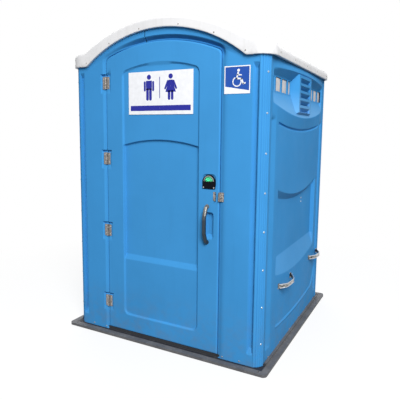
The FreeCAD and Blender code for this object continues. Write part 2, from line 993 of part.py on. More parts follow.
def corner_flange(panel, side, facing):
    """Curved flange of a front or rear panel, nested inside the side wall's corner."""
    depth = s.wall_skin + s.nest_gap
    inner_depth = depth + s.wall_skin - s.bite
    outer, inner = s.wall_half - depth, s.wall_half - inner_depth
    turn, inner_turn = corner_turn(depth), corner_turn(inner_depth)
    tail = s.wall_half - s.corner_leg - s.return_tail
    root, start = tail - s.flange_root, tail - s.flange_set
    skin_back = s.wall_half - s.wall_skin + s.bite
    end = turn - s.nest_tail
    bend, inner_bend = s.corner_radius - depth, s.corner_radius - inner_depth
    turning = -side * facing

    def at(x, y, radius=None, turn_way=1):
        return Corner(as_dim(x) * side, as_dim(y) * facing, radius, turn_way * turning)

    # Walking out along the skin and round the corner, then back along the inner face
    outline = [
        at(root, skin_back), at(start, skin_back), at(start, outer), at(turn, outer, bend, 1),
        at(outer, turn), at(outer, end), at(inner, end), at(inner, inner_turn, inner_bend, -1),
        at(inner_turn, inner), at(root, inner),
    ]
    panel.pad("XY", s.floor_top + s.floor_gap, rim_low(), outline)


def head_arc():
    """Radius and centre height of the arc along the top of the front and rear panels."""
    radius = chord_radius(s.rim_arch_half, s.rim_arch_rise)
    return radius + s.lap, rim_arch_peak() - radius


def panel_edge():
    """Where the flat of a front or rear panel stops, just short of the side wall's tail."""
    return s.wall_half - s.corner_leg - s.return_tail - s.nest_gap


def head_outline(foot):
    """Whole front or rear face: straight sides, level shoulders and the arch between them."""
    radius, middle = head_arc()
    rise = s.wall_top - middle
    meet = (radius * radius - rise * rise).root()
    edge = panel_edge()
    return [
        Corner(-edge, foot), Corner(edge, foot), Corner(edge, s.wall_top),
        Corner(meet, s.wall_top, radius, 1), Corner(-meet, s.wall_top), Corner(-edge, s.wall_top),
    ]


def door_arch():
    return Arch(s.door_centre, s.door_half, s.door_foot, s.door_spring, s.door_peak, s.door_corner)


def opening_arch():
    """The doorway: the door's own arch grown by its running gap."""
    return door_arch().shifted(s.door_gap)


def jamb_groove(side):
    """Upright groove, pointed at its foot."""
    def shape(grow):
        x, half = s.jamb_groove_x * side, s.jamb_groove_half + grow
        low, high = s.jamb_groove_low - grow, s.jamb_groove_high + grow
        point = s.jamb_groove_half * 2
        return [
            Corner(x, low), Corner(x + half, low + point), Corner(x + half, high),
            Corner(x - half, high), Corner(x - half, low + point),
        ]
    return shape


def hinge_heights():
    return [s.hinge_z_1, s.hinge_z_2, s.hinge_z_3, s.hinge_z_4]


def hinge_axis_x():
    return s.door_centre - s.door_half - s.door_gap / 2


def hinge_axis_y():
    return -(s.wall_half - s.door_recess - s.hinge_axis_back)


def hinge_floor_y():
    """The plane that both leaves are screwed to."""
    return hinge_axis_y() + s.knuckle_radius


def front_panel(label, side):
    """One half of the front: a jamb, its share of the header, a deep return and a door stop."""
    panel = Moulding(label + "_blank")
    face, skin = -s.wall_half, s.wall_skin
    foot = -s.trim_room / 2
    below = -s.trim_room
    opening = opening_arch()
    back = face + s.door_recess + s.door_depth + s.stop_gap
    edge = opening.shifted(0, foot).outline()
    rim = opening.shifted(skin, below).outline()
    lip = opening.shifted(-s.stop_reach, foot).outline()
    panel.pad("XZ", face, face + skin, head_outline(below), opening.shifted(0, foot).outline())
    panel.pad("XZ", face, back + skin, rim, edge)
    panel.pad("XZ", back, back + skin, rim, lip)
    corner_flange(panel, side, -1)
    sink(panel, "XZ", face, 1, s.jamb_groove_depth, jamb_groove(side))
    if side < 0:
        for z in hinge_heights():
            sink(panel, "XZ", face, 1, hinge_floor_y() - face, hinge_pocket(z, -1))
    wide = s.wall_half * 2
    low, high = (-wide, s.seam_x) if side > 0 else (s.seam_x, wide)
    past = back + skin + s.trim_room
    panel.pocket("XZ", face, past, rectangle(low, high, below * 2, roof_peak()))
    panel.pocket("XZ", face, past, rectangle(-wide, wide, below * 2, s.flange_thick))
    panel.pocket("XZ", face + skin, past, rectangle(-wide, wide, below * 2, s.floor_top + s.floor_gap))
    seats = corner_rivet_seats(side, -1)
    tools = drills(seats, s.rivet_shank + s.screw_gap, s.rivet_length + s.screw_gap)
    tools += drills(front_base_seats(side), s.screw_shank + s.screw_gap, s.base_screw_length)
    tools += drills(front_roof_seats(-1), s.screw_shank + s.screw_gap, s.roof_screw_length + s.screw_gap)
    if side < 0:
        tools += drills(hinge_screw_seats(-1), s.screw_shank + s.screw_gap, s.screw_length + s.screw_gap)
    else:
        tools += drills(hasp_jamb_seats(), s.screw_shank + s.screw_gap, s.screw_length + s.screw_gap)
        tools.append(keeper_slot())
    return keep(cut(panel.body, tools), label)


def rear_wall():
    """Rear wall with the same lower field as the sides and nested corner flanges."""
    wall = Moulding("rear_wall_blank")
    face, skin = s.wall_half, s.wall_skin
    wall.pad("XZ", face - skin, face, head_outline(s.flange_thick))
    for side in (1, -1):
        corner_flange(wall, side, 1)
    sink(wall, "XZ", face, -1, s.field_depth, field_recess)
    sink(wall, "XZ", face, -1, s.groove_depth, groove_recess)
    seats = corner_rivet_seats(1, 1) + corner_rivet_seats(-1, 1)
    tools = drills(seats, s.rivet_shank + s.screw_gap, s.rivet_length + s.screw_gap)
    tools += drills(rear_base_seats(), s.screw_shank + s.screw_gap, s.base_screw_length)
    tools += drills(front_roof_seats(1), s.screw_shank + s.screw_gap, s.roof_screw_length + s.screw_gap)
    keep(cut(wall.body, tools), "rear_wall")


# Roof and vent

def above_arc(half, spring, peak, wide, top):
    """Everything above level shoulders and the arch between them."""
    return [
        Corner(-wide, spring), Corner(-half, spring, chord_radius(half, peak - spring), -1),
        Corner(half, spring), Corner(wide, spring), Corner(wide, top), Corner(-wide, top),
    ]


def above_round_sides(half, spring, peak, edge, bend, wide, top):
    """Everything above the arch and shoulders that round over into the sides."""
    low = spring - bend
    return [
        Corner(-wide, low), Corner(-edge, low, bend, -1), Corner(bend - edge, spring),
        Corner(-half, spring, chord_radius(half, peak - spring), -1),
        Corner(half, spring), Corner(edge - bend, spring, bend, -1), Corner(edge, low), Corner(wide, low),
        Corner(wide, top), Corner(-wide, top),
    ]


def room_outline(grow):
    """Plan of the walls' outside with their round corners, grown by a constant distance."""
    half, turn = s.wall_half + grow, corner_turn(-grow)
    bend = s.corner_radius + grow
    return [
        Corner(-turn, -half), Corner(turn, -half, bend), Corner(half, -turn), Corner(half, turn, bend),
        Corner(turn, half), Corner(-turn, half, bend), Corner(-half, turn), Corner(-half, -turn, bend),
    ]


def below_arc(half, spring, radius, wide, bottom):
    """Everything below level shoulders and the arch between them."""
    return [
        Corner(-wide, bottom), Corner(wide, bottom), Corner(wide, spring),
        Corner(half, spring, radius, 1), Corner(-half, spring), Corner(-wide, spring),
    ]


def roof():
    """Arched roof shell with a deep rim all round, raised at the front and round over the sides."""
    shell = Moulding("roof_blank")
    half_x, half_y = roof_half_x(), roof_half_y()
    wide = half_x * 2
    plan = round_rectangle(-half_x, half_x, -half_y, half_y, s.roof_corner)
    shell.pad("XY", rim_low(), roof_peak(), plan)
    top = roof_peak() * 2
    shell.pocket("XZ", -half_y, half_y, above_arc(s.ear_half, ear_top(), roof_peak(), wide, top))
    shoulder, crown = ear_top() - s.rim_step, roof_peak() - s.rim_step
    shell.pocket("XZ", s.rim_depth - half_y, half_y,
                 above_round_sides(s.ear_half, shoulder, crown, half_x, s.rim_round, wide, top))
    arch = chord_radius(s.rim_arch_half, s.rim_arch_rise)
    shell.pocket("XZ", -half_y, half_y, below_arc(s.rim_arch_half, rim_low(), arch, wide, 0))
    # Room for the walls and for the arched heads of the front and rear
    radius, middle = head_arc()
    room = s.wall_half + s.roof_fit
    ledge = s.wall_top + s.nest_gap
    shell.pocket("XY", rim_low(), ledge, room_outline(s.roof_fit))
    head = radius + s.nest_gap
    rise = ledge - middle
    meet = (head * head - rise * rise).root()
    shell.pocket("XZ", -room, room, below_arc(meet, ledge, head, panel_edge(), 0))
    # Hollow under the arch, inside the ledge that sits on the walls
    seat = s.wall_half - s.wall_skin - s.roof_seat
    vault = chord_radius(s.ear_half, s.roof_rise)
    inner_spring = shoulder - s.roof_skin
    inner_rise = inner_spring - (crown - vault)
    inner = vault - s.roof_skin
    inner_half = (inner * inner - inner_rise * inner_rise).root()
    shell.pocket("XZ", -seat, seat, below_arc(inner_half, inner_spring, inner, seat, 0))
    shell.pocket("XY", rim_low(), roof_peak(), Ring(s.vent_x, s.vent_y, s.vent_radius + s.vent_fit))
    seats = side_roof_seats(1) + side_roof_seats(-1) + front_roof_seats(-1) + front_roof_seats(1)
    drilled(shell.body, seats, s.screw_shank + s.screw_gap, s.roof_screw_length + s.screw_gap, "roof")
    stud_group("roof_screws", seats, s.screw_head, s.screw_rise, s.screw_shank, s.roof_screw_length)


def vent():
    """Vent pipe from the tank deck through the roof, and the rain cap on four posts over it."""
    inner = s.vent_radius - s.vent_wall
    foot = s.tank_top - s.tank_wall
    pipe = Moulding("vent_pipe")
    pipe.pad("XY", foot, vent_top(), Ring(s.vent_x, s.vent_y, s.vent_radius), Ring(s.vent_x, s.vent_y, inner))
    keep(pipe.body, "vent_pipe")
    top = vent_top() + s.cap_gap
    middle = (s.vent_x, s.vent_y)
    dome = cone((*middle, top), (0, 0, 1), s.cap_radius, s.cap_crown, s.cap_rise)
    skirt = cylinder((*middle, top - s.cap_skirt), (0, 0, 1), s.cap_radius, s.cap_skirt)
    hollow = cylinder((*middle, top - s.cap_skirt), (0, 0, 1), s.cap_radius - s.vent_wall,
                      s.cap_skirt - s.vent_wall)
    shell = cut(fused([dome, skirt]), [hollow])
    posts = []
    reach = s.vent_radius + s.vent_fit + s.cap_post
    collar_low = vent_top() - s.cap_collar
    for way_x, way_y in ((1, 0), (0, 1), (-1, 0), (0, -1)):
        x, y = s.vent_x + reach * way_x, s.vent_y + reach * way_y
        posts.append(cylinder((x, y, collar_low), (0, 0, 1), s.cap_post, top - collar_low))
    collar = cut(cylinder((*middle, collar_low), (0, 0, 1), reach + s.cap_post, s.cap_collar_tall),
                 [cylinder((*middle, collar_low), (0, 0, 1), s.vent_radius + s.vent_fit, s.cap_collar_tall)])
    keep(fused([shell, collar] + posts), "vent_cap")


# Door

def relief_arch():
    return Arch(s.relief_centre, s.relief_half, s.relief_low, s.relief_spring, s.relief_peak, s.relief_corner)


def deep_arch():
    return Arch(s.relief_centre, s.relief_half, s.deep_low, s.deep_spring, s.deep_peak, s.deep_corner)


def hinge_pocket(z, side):
    """The half of a hinge pocket on one side of the hinge line."""
    def shape(grow):
        half = s.pocket_height / 2 + grow
        axis = hinge_axis_x()
        edge = axis + (s.pocket_width + grow) * side
        near = axis + (s.door_gap / 2 * side)
        low, high = (near, edge) if side > 0 else (edge, near)
        return rectangle(low, high, z - half, z + half)
    return shape


def finger_pocket(grow):
    return round_rectangle(s.finger_left - grow, s.finger_right + grow, s.finger_low - grow,
                           s.finger_high + grow, s.finger_corner)


def indicator_outline(grow):
    """Square lower half with a round top of the same width."""
    half = s.housing_half + grow
    left, right = s.latch_x - half, s.latch_x + half
    return [
        Corner(left, s.housing_low - grow), Corner(right, s.housing_low - grow),
        Corner(right, s.latch_z, half, 1), Corner(s.latch_x, s.latch_z + half, half, 1),
        Corner(left, s.latch_z),
    ]


def indicator_pocket(grow):
    return indicator_outline(s.pocket_border + grow)


def door():
    """Door shell: a moulded face with its relief, and a deep edge all round."""
    leaf = Moulding("door_blank")
    face, skin = door_face(), s.wall_skin
    arch = door_arch()
    leaf.pad("XZ", face, face + s.door_depth, arch.outline(), arch.shifted(-skin).outline())
    leaf.pad("XZ", face, face + skin, arch.outline())
    sink(leaf, "XZ", face, 1, s.relief_depth, lambda grow: relief_arch().shifted(grow).outline())
    sink(leaf, "XZ", face, 1, s.deep_depth, lambda grow: deep_arch().shifted(grow).outline())
    sink(leaf, "XZ", face, 1, s.finger_depth, finger_pocket)
    sink(leaf, "XZ", face, 1, s.housing_pocket, indicator_pocket)
    for z in hinge_heights():
        sink(leaf, "XZ", face, 1, hinge_floor_y() - face, hinge_pocket(z, 1))
    leaf.pocket("XZ", face, face + s.door_depth, Ring(s.latch_x, s.latch_z, s.spindle_radius + s.screw_gap))
    seats = hinge_screw_seats(1) + hasp_door_seats()
    tools = drills(seats, s.screw_shank + s.screw_gap, s.screw_length + s.screw_gap)
    tools.append(bolt_room(s.bolt_fit))
    keep(cut(leaf.body, tools), "door")


def door_face():
    return -(s.wall_half - s.door_recess)


# Hinges

def hinge_screw_seats(side):
    """Two screws in each leaf on one side of the hinge line."""
    seats = []
    x = hinge_axis_x() + s.leaf_screw_out * side
    y = hinge_floor_y() - s.leaf_thick
    for z in hinge_heights():
        for way in (-1, 1):
            seats.append(((x, y, z + s.leaf_screw_rise * way), (0, -1, 0)))
    return seats


def hinge_leaf(label, z, side, own_knuckles):
    """Flat leaf with its share of the three knuckles; knuckle 1 is the middle one."""
    axis_x, axis_y = hinge_axis_x(), hinge_axis_y()
    low, third = z - s.leaf_height / 2, s.leaf_height / 3
    floor = hinge_floor_y()
    edge = axis_x + s.leaf_width * side
    near = axis_x
    x_low, x_high = (near, edge) if side > 0 else (edge, near)
    plate = block(x_low, x_high, floor - s.leaf_thick, floor, low, low + s.leaf_height)
    barrel = cylinder((axis_x, axis_y, low), (0, 0, 1), s.knuckle_radius, s.leaf_height)
    bore = cylinder((axis_x, axis_y, low), (0, 0, 1), s.hinge_pin_radius + s.running_gap, s.leaf_height)
    tools = [bore]
    room = s.knuckle_radius + s.knuckle_gap * 2
    for number in range(3):
        if number in own_knuckles:
            continue
        start = low + third * number - (s.knuckle_gap if number else 0)
        end = low + third * (number + 1) + (s.knuckle_gap if number < 2 else 0)
        tools.append(block(axis_x - room, axis_x + room, axis_y - room, axis_y + room, start, end))
    tools += drills([seat for seat in hinge_screw_seats(side)], s.screw_shank + s.screw_gap, s.leaf_thick * 2)
    return keep(cut(fused([plate, barrel]), tools), label)


def hinges():
    """Four butt hinges, each a jamb leaf, a door leaf and a headed pin."""
    for number, z in enumerate(hinge_heights(), start=1):
        hinge_leaf(f"hinge_{number}_jamb_leaf", z, -1, (0, 2))
        hinge_leaf(f"hinge_{number}_door_leaf", z, 1, (1,))
        low = z - s.leaf_height / 2
        axis = (hinge_axis_x(), hinge_axis_y())
        pin = cylinder((*axis, low), (0, 0, 1), s.hinge_pin_radius, s.leaf_height)
        head = cone((*axis, low + s.leaf_height), (0, 0, 1), s.hinge_pin_radius * s.pin_head_share,
                    s.hinge_pin_radius, s.leaf_thick)
        keep(fused([pin, head]), f"hinge_{number}_pin")


# Latch, indicator and keeper

def bolt_plane():
    """Middle plane of the sliding bolt, just behind the door's inner pocket wall."""
    return door_face() + s.housing_pocket + s.wall_skin + s.bolt_thick / 2 + s.bolt_clear


def bolt_rest_end():
    """Tip of the bolt at rest, just inside the door's edge."""
    return s.door_centre + s.door_half - s.wall_skin / 2


def bolt_room(fit):
    """The space that the bolt's shaft runs through, from the latch into the jamb."""
    y, half = bolt_plane(), s.bolt_thick / 2 + fit
    high = s.bolt_height / 2 + fit
    start = s.door_centre + s.door_half - s.wall_skin * 2
    return block(start, start + s.keeper_width * 2, y - half, y + half, s.latch_z - high, s.latch_z + high)


def keeper_slot():
    return bolt_room(s.bolt_fit)


def latch_bolt():
    """Sliding bolt: a straight shaft and a head with the crank's upright slot."""
    y, half, tall = bolt_plane(), s.bolt_thick / 2, s.bolt_height / 2
    slot_x = s.latch_x - s.crank_radius
    slot_half = s.crank_pin + s.crank_slack
    cheek = s.bolt_thick
    head_left, head_right = slot_x - slot_half - cheek, slot_x + slot_half + cheek
    head_tall = s.bolt_head_half + s.knob_width / 2
    low, high = s.latch_z - tall, s.latch_z + tall
    shaft = block(head_right - s.bite, bolt_rest_end(), y - half, y + half, low, high)
    head = block(head_left, head_right, y - half, y + half, s.latch_z - head_tall, s.latch_z + head_tall)
    slot = block(slot_x - slot_half, slot_x + slot_half, y - half, y + half,
                 s.latch_z - s.bolt_head_half, s.latch_z + s.bolt_head_half)
    # The spindle crosses the bolt's path, so the shaft has a long window for it
    room = s.spindle_radius + s.bolt_clear
    travel = s.crank_radius * 2
    window = block(s.latch_x - room - travel, s.latch_x + room, y - half, y + half,
                   s.latch_z - room, s.latch_z + room)
    keep(cut(fused([shaft, head]), [slot, window]), "latch_bolt")


def indicator():
    """Outer housing with its window and lens, and the turning dial on its spindle."""
    face = door_face() + s.housing_pocket
    front = face - s.housing_thick
    housing = Moulding("indicator_housing")
    housing.pad("XZ", front, face, indicator_outline(as_dim(0)))
    housing.pocket("XZ", face - s.dial_room, face, Ring(s.latch_x, s.latch_z, s.dial_radius + s.bolt_clear))
    housing.pocket("XZ", front, face, half_disc(s.window_radius))
    keep(housing.body, "indicator_housing")
    lens = Moulding("indicator_lens")
    lens_front = front + s.lens_set
    lens.pad("XZ", lens_front, lens_front + s.lens_thick, half_disc(s.window_radius - s.lens_gap))
    keep(lens.body, "indicator_lens")
    dial = Moulding("indicator_dial")
    low = face - s.dial_thick - s.seat_gap
    dial.pad("XZ", low, face - s.seat_gap, Ring(s.latch_x, s.latch_z, s.dial_radius))
    dial.pad("XZ", low, knob_face() + s.hub_thick, Ring(s.latch_x, s.latch_z, s.spindle_radius))
    keep(dial.body, "indicator_dial")


def half_disc(radius):
    """Upper half of a disc about the latch axis, on a low upright edge."""
    x, low = s.latch_x, s.latch_z + s.window_sill
    spring = low + s.window_edge
    return [
        Corner(x - radius, low), Corner(x + radius, low), Corner(x + radius, spring, radius, 1),
        Corner(x, spring + radius, radius, 1), Corner(x - radius, spring),
    ]


def guide_back():
    """Inner face of the latch casing."""
    return bolt_plane() + s.bolt_thick / 2 + s.guide_wall + s.bolt_fit


def knob_face():
    """Near face of the knob's hub, just behind the casing."""
    return guide_back() + s.seat_gap


def latch_case():
    """Inner casing: an open-ended box over the bolt, with a round hole for the crank hub."""
    front = door_face() + s.housing_pocket + s.wall_skin
    back = guide_back()
    travel = s.crank_radius * 2
    cheek = s.bolt_thick
    head_left = s.latch_x - s.crank_radius - s.crank_pin - s.crank_slack - cheek
    head_right = s.latch_x - s.crank_radius + s.crank_pin + s.crank_slack + cheek + travel
    wall, fit = s.guide_wall, s.bolt_fit
    tall = s.bolt_head_half + s.knob_width / 2 + fit
    outer = block(head_left - wall - fit, head_right + wall + fit, front, back,
                  s.latch_z - tall - wall, s.latch_z + tall + wall)
    room = block(head_left - fit, head_right + fit, front, back - wall, s.latch_z - tall, s.latch_z + tall)
    way = bolt_way(fit, head_right)
    hub = cylinder((s.latch_x, back - wall, s.latch_z), (0, 1, 0), s.hub_radius + s.hub_gap, wall)
    keep(cut(outer, [room, way, hub]), "latch_case")


def bolt_way(fit, start):
    """Passage for the bolt's shaft through the casing's right-hand wall."""
    y, half, tall = bolt_plane(), s.bolt_thick / 2 + fit, s.bolt_height / 2 + fit
    return block(start, start + s.guide_wall * 4, y - half, y + half, s.latch_z - tall, s.latch_z + tall)


def latch_knob():
    """Inner turn knob: a grip bar on a hub disc, with the crank pin that drives the bolt."""
    near = knob_face()
    hub_start = guide_back() - s.guide_wall + s.seat_gap
    hub = cylinder((s.latch_x, hub_start, s.latch_z), (0, 1, 0), s.hub_radius, near + s.hub_thick - hub_start)
    grip = block(s.latch_x - s.knob_width / 2, s.latch_x + s.knob_width / 2, near + s.hub_thick,
                 near + s.hub_thick + s.knob_height, s.latch_z - s.knob_length / 2, s.latch_z + s.knob_length / 2)
    pin = cylinder((s.latch_x - s.crank_radius, bolt_plane(), s.latch_z), (0, 1, 0), s.crank_pin,
                   hub_start - bolt_plane() + s.bite)
    bore = cylinder((s.latch_x, hub_start, s.latch_z), (0, 1, 0), s.spindle_radius + s.running_gap,
                    near + s.hub_thick - hub_start)
    keep(cut(fused([hub, grip, pin]), [bore]), "latch_knob")


def latch_keeper():
    """Keeper plate on the back of the jamb's return, slotted for the bolt."""
    start = s.door_centre + s.door_half + s.door_gap + s.wall_skin
    y = bolt_plane()
    half = s.keeper_width / 2
    plate = block(start, start + s.keeper_thick, y - half + s.bolt_clear, y + half,
                  s.latch_z - s.keeper_height / 2, s.latch_z + s.keeper_height / 2)
    keep(cut(plate, [keeper_slot()]), "latch_keeper")


# Signs, hasp and handles on the outside of the door

def sign_plates():
    """Two thin plates: a wide one on the door and a small one on the right jamb."""
    floor = door_face() + s.relief_depth
    keep(block(s.sign_left, s.sign_right, floor - s.sign_thick, floor, s.sign_low, s.sign_high), "sign_plate")
    front = -s.wall_half - s.jamb_sign_thick
    keep(block(s.jamb_sign_left, s.jamb_sign_right, front, -s.wall_half, s.jamb_sign_low, s.jamb_sign_high),
         "access_sign")


def hasp_jamb_seats():
    x = jamb_hasp_left() + s.hasp_jamb_width * s.hasp_screw_share
    y = -s.wall_half - s.hasp_thick
    return [((x, y, s.hasp_z + s.hasp_height / 4 * way), (0, -1, 0)) for way in (-1, 1)]


def hasp_door_seats():
    x = s.hasp_door_right - s.hasp_door_width / 2 - s.hasp_thick
    y = door_face() - s.hasp_thick
    return [((x, y, s.hasp_z + s.hasp_height / 4 * way), (0, -1, 0)) for way in (-1, 1)]


def jamb_hasp_left():
    return s.door_centre + s.door_half + s.door_gap


def hasp_plate(label, left, width, face, tab_at, seats):
    """Flat plate with one upright tab pierced for a padlock."""
    low, high = s.hasp_z - s.hasp_height / 2, s.hasp_z + s.hasp_height / 2
    plate = block(left, left + width, face - s.hasp_thick, face, low, high)
    tab = block(tab_at, tab_at + s.hasp_thick, face - s.hasp_thick - s.hasp_tab, face, low, high)
    eye_y = face - s.hasp_thick - s.hasp_tab / 2
    eye = cylinder((tab_at - s.bite, eye_y, s.hasp_z), (1, 0, 0), s.hasp_eye, s.hasp_thick + s.bite * 2)
    tools = [eye] + drills(seats, s.screw_shank + s.screw_gap, s.hasp_thick)
    keep(cut(fused([plate, tab]), tools), label)


def hasp():
    right = s.hasp_door_right
    hasp_plate("hasp_door_plate", right - s.hasp_door_width, s.hasp_door_width, door_face(),
               right - s.hasp_thick, hasp_door_seats())
    hasp_plate("hasp_jamb_plate", jamb_hasp_left(), s.hasp_jamb_width, -s.wall_half, jamb_hasp_left(),
               hasp_jamb_seats())


def pull_handle(label, face, outward, stub, out):
    """Upright pull handle: a round bar with raked ends and two foot plates."""
    handle = Moulding(label)
    near = face + stub * outward
    far = face + out * outward
    high, low, rake = s.handle_high, s.handle_low, s.handle_rake
    points = [(face, high), (near, high), (far, high - rake), (far, low + rake), (near, low), (face, low)]
    path = bent_path(points, [s.handle_bend, s.handle_bend * 2, s.handle_bend * 2, s.handle_bend])
    for z in (high, low):
        start = face + s.foot_plate_thick * outward
        y_low, y_high = (start, face) if outward < 0 else (face, start)
        handle.pad("XZ", y_low, y_high, Ring(s.handle_x, z, s.foot_plate))
    handle.pipe("YZ", s.handle_x, path, "XZ", face, Ring(s.handle_x, high, s.handle_bar))
    keep(handle.body, label)


# Lifting handles

def lift_section(y, z):
    """Upright strap section at one place along the arm."""
    half = s.lift_width / 2
    return rectangle(y - s.lift_strap / 2, y + s.lift_strap / 2, z - half, z + half)


def lifting_handle(label, centre):
    """Strap handle on the right wall: two arms that slope out and down to a level grip."""
    handle = Moulding(label)
    face = s.wall_half
    far_x = face + s.lift_out
    grip_z = s.lift_z - s.lift_drop
    ends = [centre - s.lift_half, centre + s.lift_half]
    grips = [ends[0] + s.lift_inset, ends[1] - s.lift_inset]
    low, high = grips
    half = s.lift_width / 2
    handle.pad("YZ", far_x - s.lift_strap, far_x,
               rectangle(low - s.lift_strap / 2, high + s.lift_strap / 2, grip_z - half, grip_z + half))
    for end, grip in zip(ends, grips):
        handle.loft("YZ", face, lift_section(end, s.lift_z), far_x - s.lift_strap, lift_section(grip, grip_z))
        foot = s.lift_foot / 2
        plate = rectangle(end - foot, end + foot, s.lift_z - foot, s.lift_z + foot)
        handle.pad("YZ", face, face + s.lift_strap / 2, plate)
    return keep(handle.body, label)


# Tank, seat and lid

def oval(x, y, half_x, half_y):
    """Rounded outline, nearly a half circle at each end."""
    return round_rectangle(x - half_x, x + half_x, y - half_y, y + half_y, half_x - s.seat_flat)


def waste_tank():
    """Hollow tank with a flat deck, a seat hole and the vent socket."""
    tank = Moulding("waste_tank")
    wall = s.tank_wall
    left, right, front, back = s.tank_left, s.tank_right, s.tank_front, s.tank_back
    tank.pad("XY", s.floor_top, s.tank_top, round_rectangle(left, right, front, back, s.tank_corner))
    tank.pocket("XY", s.floor_top + wall, s.tank_top - wall,
                round_rectangle(left + wall, right - wall, front + wall, back - wall, s.tank_corner - wall))
    tank.pocket("XY", s.tank_top - wall, s.tank_top, oval(s.seat_x, s.seat_y, s.seat_hole_x, s.seat_hole_y))
    tank.pocket("XY", s.tank_top - wall, s.tank_top, Ring(s.vent_x, s.vent_y, s.vent_radius + s.vent_fit))
    keep(tank.body, "waste_tank")


def seat_axis():
    """Height and depth of the seat's hinge line."""
    return s.seat_y + s.seat_half_y + s.seat_pin_back, s.tank_top + s.seat_pin_rise


def lug_places(order):
    """Left and right start of the lugs of one rank, counted outward from the middle."""
    start = s.lug_first + (s.lug_width + s.lug_gap) * order
    return [s.seat_x - start - s.lug_width, s.seat_x + start]


def lug_bore(x, gap):
    """Bore for the hinge pin through one lug."""
    y, z = seat_axis()
    return cylinder((x, y, z), (1, 0, 0), s.seat_pin_radius + gap, s.lug_width)


def lugs(order, panel, reach_y, low, high):
    """Two lugs, each butted on the panel's edge and bored for the pin at the hinge line."""
    y, z = seat_axis()
    items = []
    for x in lug_places(order):
        eye = cylinder((x, y, z), (1, 0, 0), s.lug_radius, s.lug_width)
        arm = block(x, x + s.lug_width, reach_y, y, low, high)
        items.append(cut(fused([eye, arm]), [panel, lug_bore(x, s.running_gap)]))
    return items


def seat_and_lid():
    """Oval seat ring on the deck, the lid standing open behind it, and their hinge."""
    y, z = seat_axis()
    low = s.tank_top + s.seat_gap
    ring = Moulding("toilet_seat_ring")
    ring.pad("XY", low, low + s.seat_thick, oval(s.seat_x, s.seat_y, s.seat_half_x, s.seat_half_y),
             oval(s.seat_x, s.seat_y, s.seat_hole_x, s.seat_hole_y))
    reach = s.seat_y + s.seat_half_y - s.lug_root
    arms = lugs(1, ring.body, reach, z - s.lug_radius + s.bite, low + s.seat_thick)
    keep(grouped([ring.body] + arms), "toilet_seat")

    lid_low = low + s.seat_thick + s.seat_gap
    plate = Moulding("seat_lid_plate")
    plate.pad("XY", lid_low, lid_low + s.lid_thick, oval(s.seat_x, s.seat_y, s.seat_half_x, s.seat_half_y))
    closed = grouped([plate.body] + lugs(0, plate.body, reach, lid_low, lid_low + s.lid_thick), "closed_lid")
    keep(opened(closed, y, z), "seat_lid")

    posts = []
    for x in lug_places(2):
        eye = cylinder((x, y, z), (1, 0, 0), s.lug_radius, s.lug_width)
        post = block(x, x + s.lug_width, y - s.lug_radius, y + s.lug_radius, s.tank_top + s.lug_foot, z)
        posts.append(cut(fused([eye, post]), [lug_bore(x, s.running_gap)]))
    foot = block(lug_places(2)[0], lug_places(2)[1] + s.lug_width, y - s.lug_radius, y + s.lug_radius,
                 s.tank_top, s.tank_top + s.lug_foot)
    keep(grouped(posts + [foot]), "seat_bracket")
    start = lug_places(2)[0]
    keep(cylinder((start, y, z), (1, 0, 0), s.seat_pin_radius, lug_places(2)[1] + s.lug_width - start),
         "seat_pin")


def opened(closed, y, z):
    """The lid turned back about the hinge line by its open angle."""
    item = doc.addObject("Part::Compound", "seat_lid")
    item.Links = [closed]
    turn = Rotation(Vector(-1, 0, 0), SIZES["lid_angle"])
    centre = Vector(0, y.value, z.value)
    item.Placement = Placement(Vector(0, 0, 0), turn, centre)
    return item


# Fittings inside

def inner_field_face():
    """Inner face of the lower field of the side and rear walls, from the middle."""
    return s.wall_half - s.field_depth - s.wall_skin


def grab_bars():
    """Two bent tube bars with round flanges, one on the left wall and one on the rear wall."""
    face = inner_field_face()
    out = face - s.bar_out
    side = Moulding("side_grab_bar")
    front, back = s.side_bar_front, s.side_bar_back
    points = [(-face, back), (-out, back), (-out, front), (-face, front)]
    for y in (back, front):
        side.pad("YZ", -face, s.bar_flange_thick - face, Ring(y, s.bar_z, s.bar_flange))
    side.pipe("XY", s.bar_z, bent_path(points, [s.bar_bend, s.bar_bend]), "YZ", -face,
              Ring(back, s.bar_z, s.bar_radius))
    keep(side.body, "side_grab_bar")
    rear = Moulding("rear_grab_bar")
    left, right = s.rear_bar_left, s.rear_bar_right
    points = [(left, face), (left, out), (right, out), (right, face)]
    for x in (left, right):
        rear.pad("XZ", face - s.bar_flange_thick, face, Ring(x, s.bar_z, s.bar_flange))
    rear.pipe("XY", s.bar_z, bent_path(points, [s.bar_bend, s.bar_bend]), "XZ", face,
              Ring(left, s.bar_z, s.bar_radius))
    keep(rear.body, "rear_grab_bar")


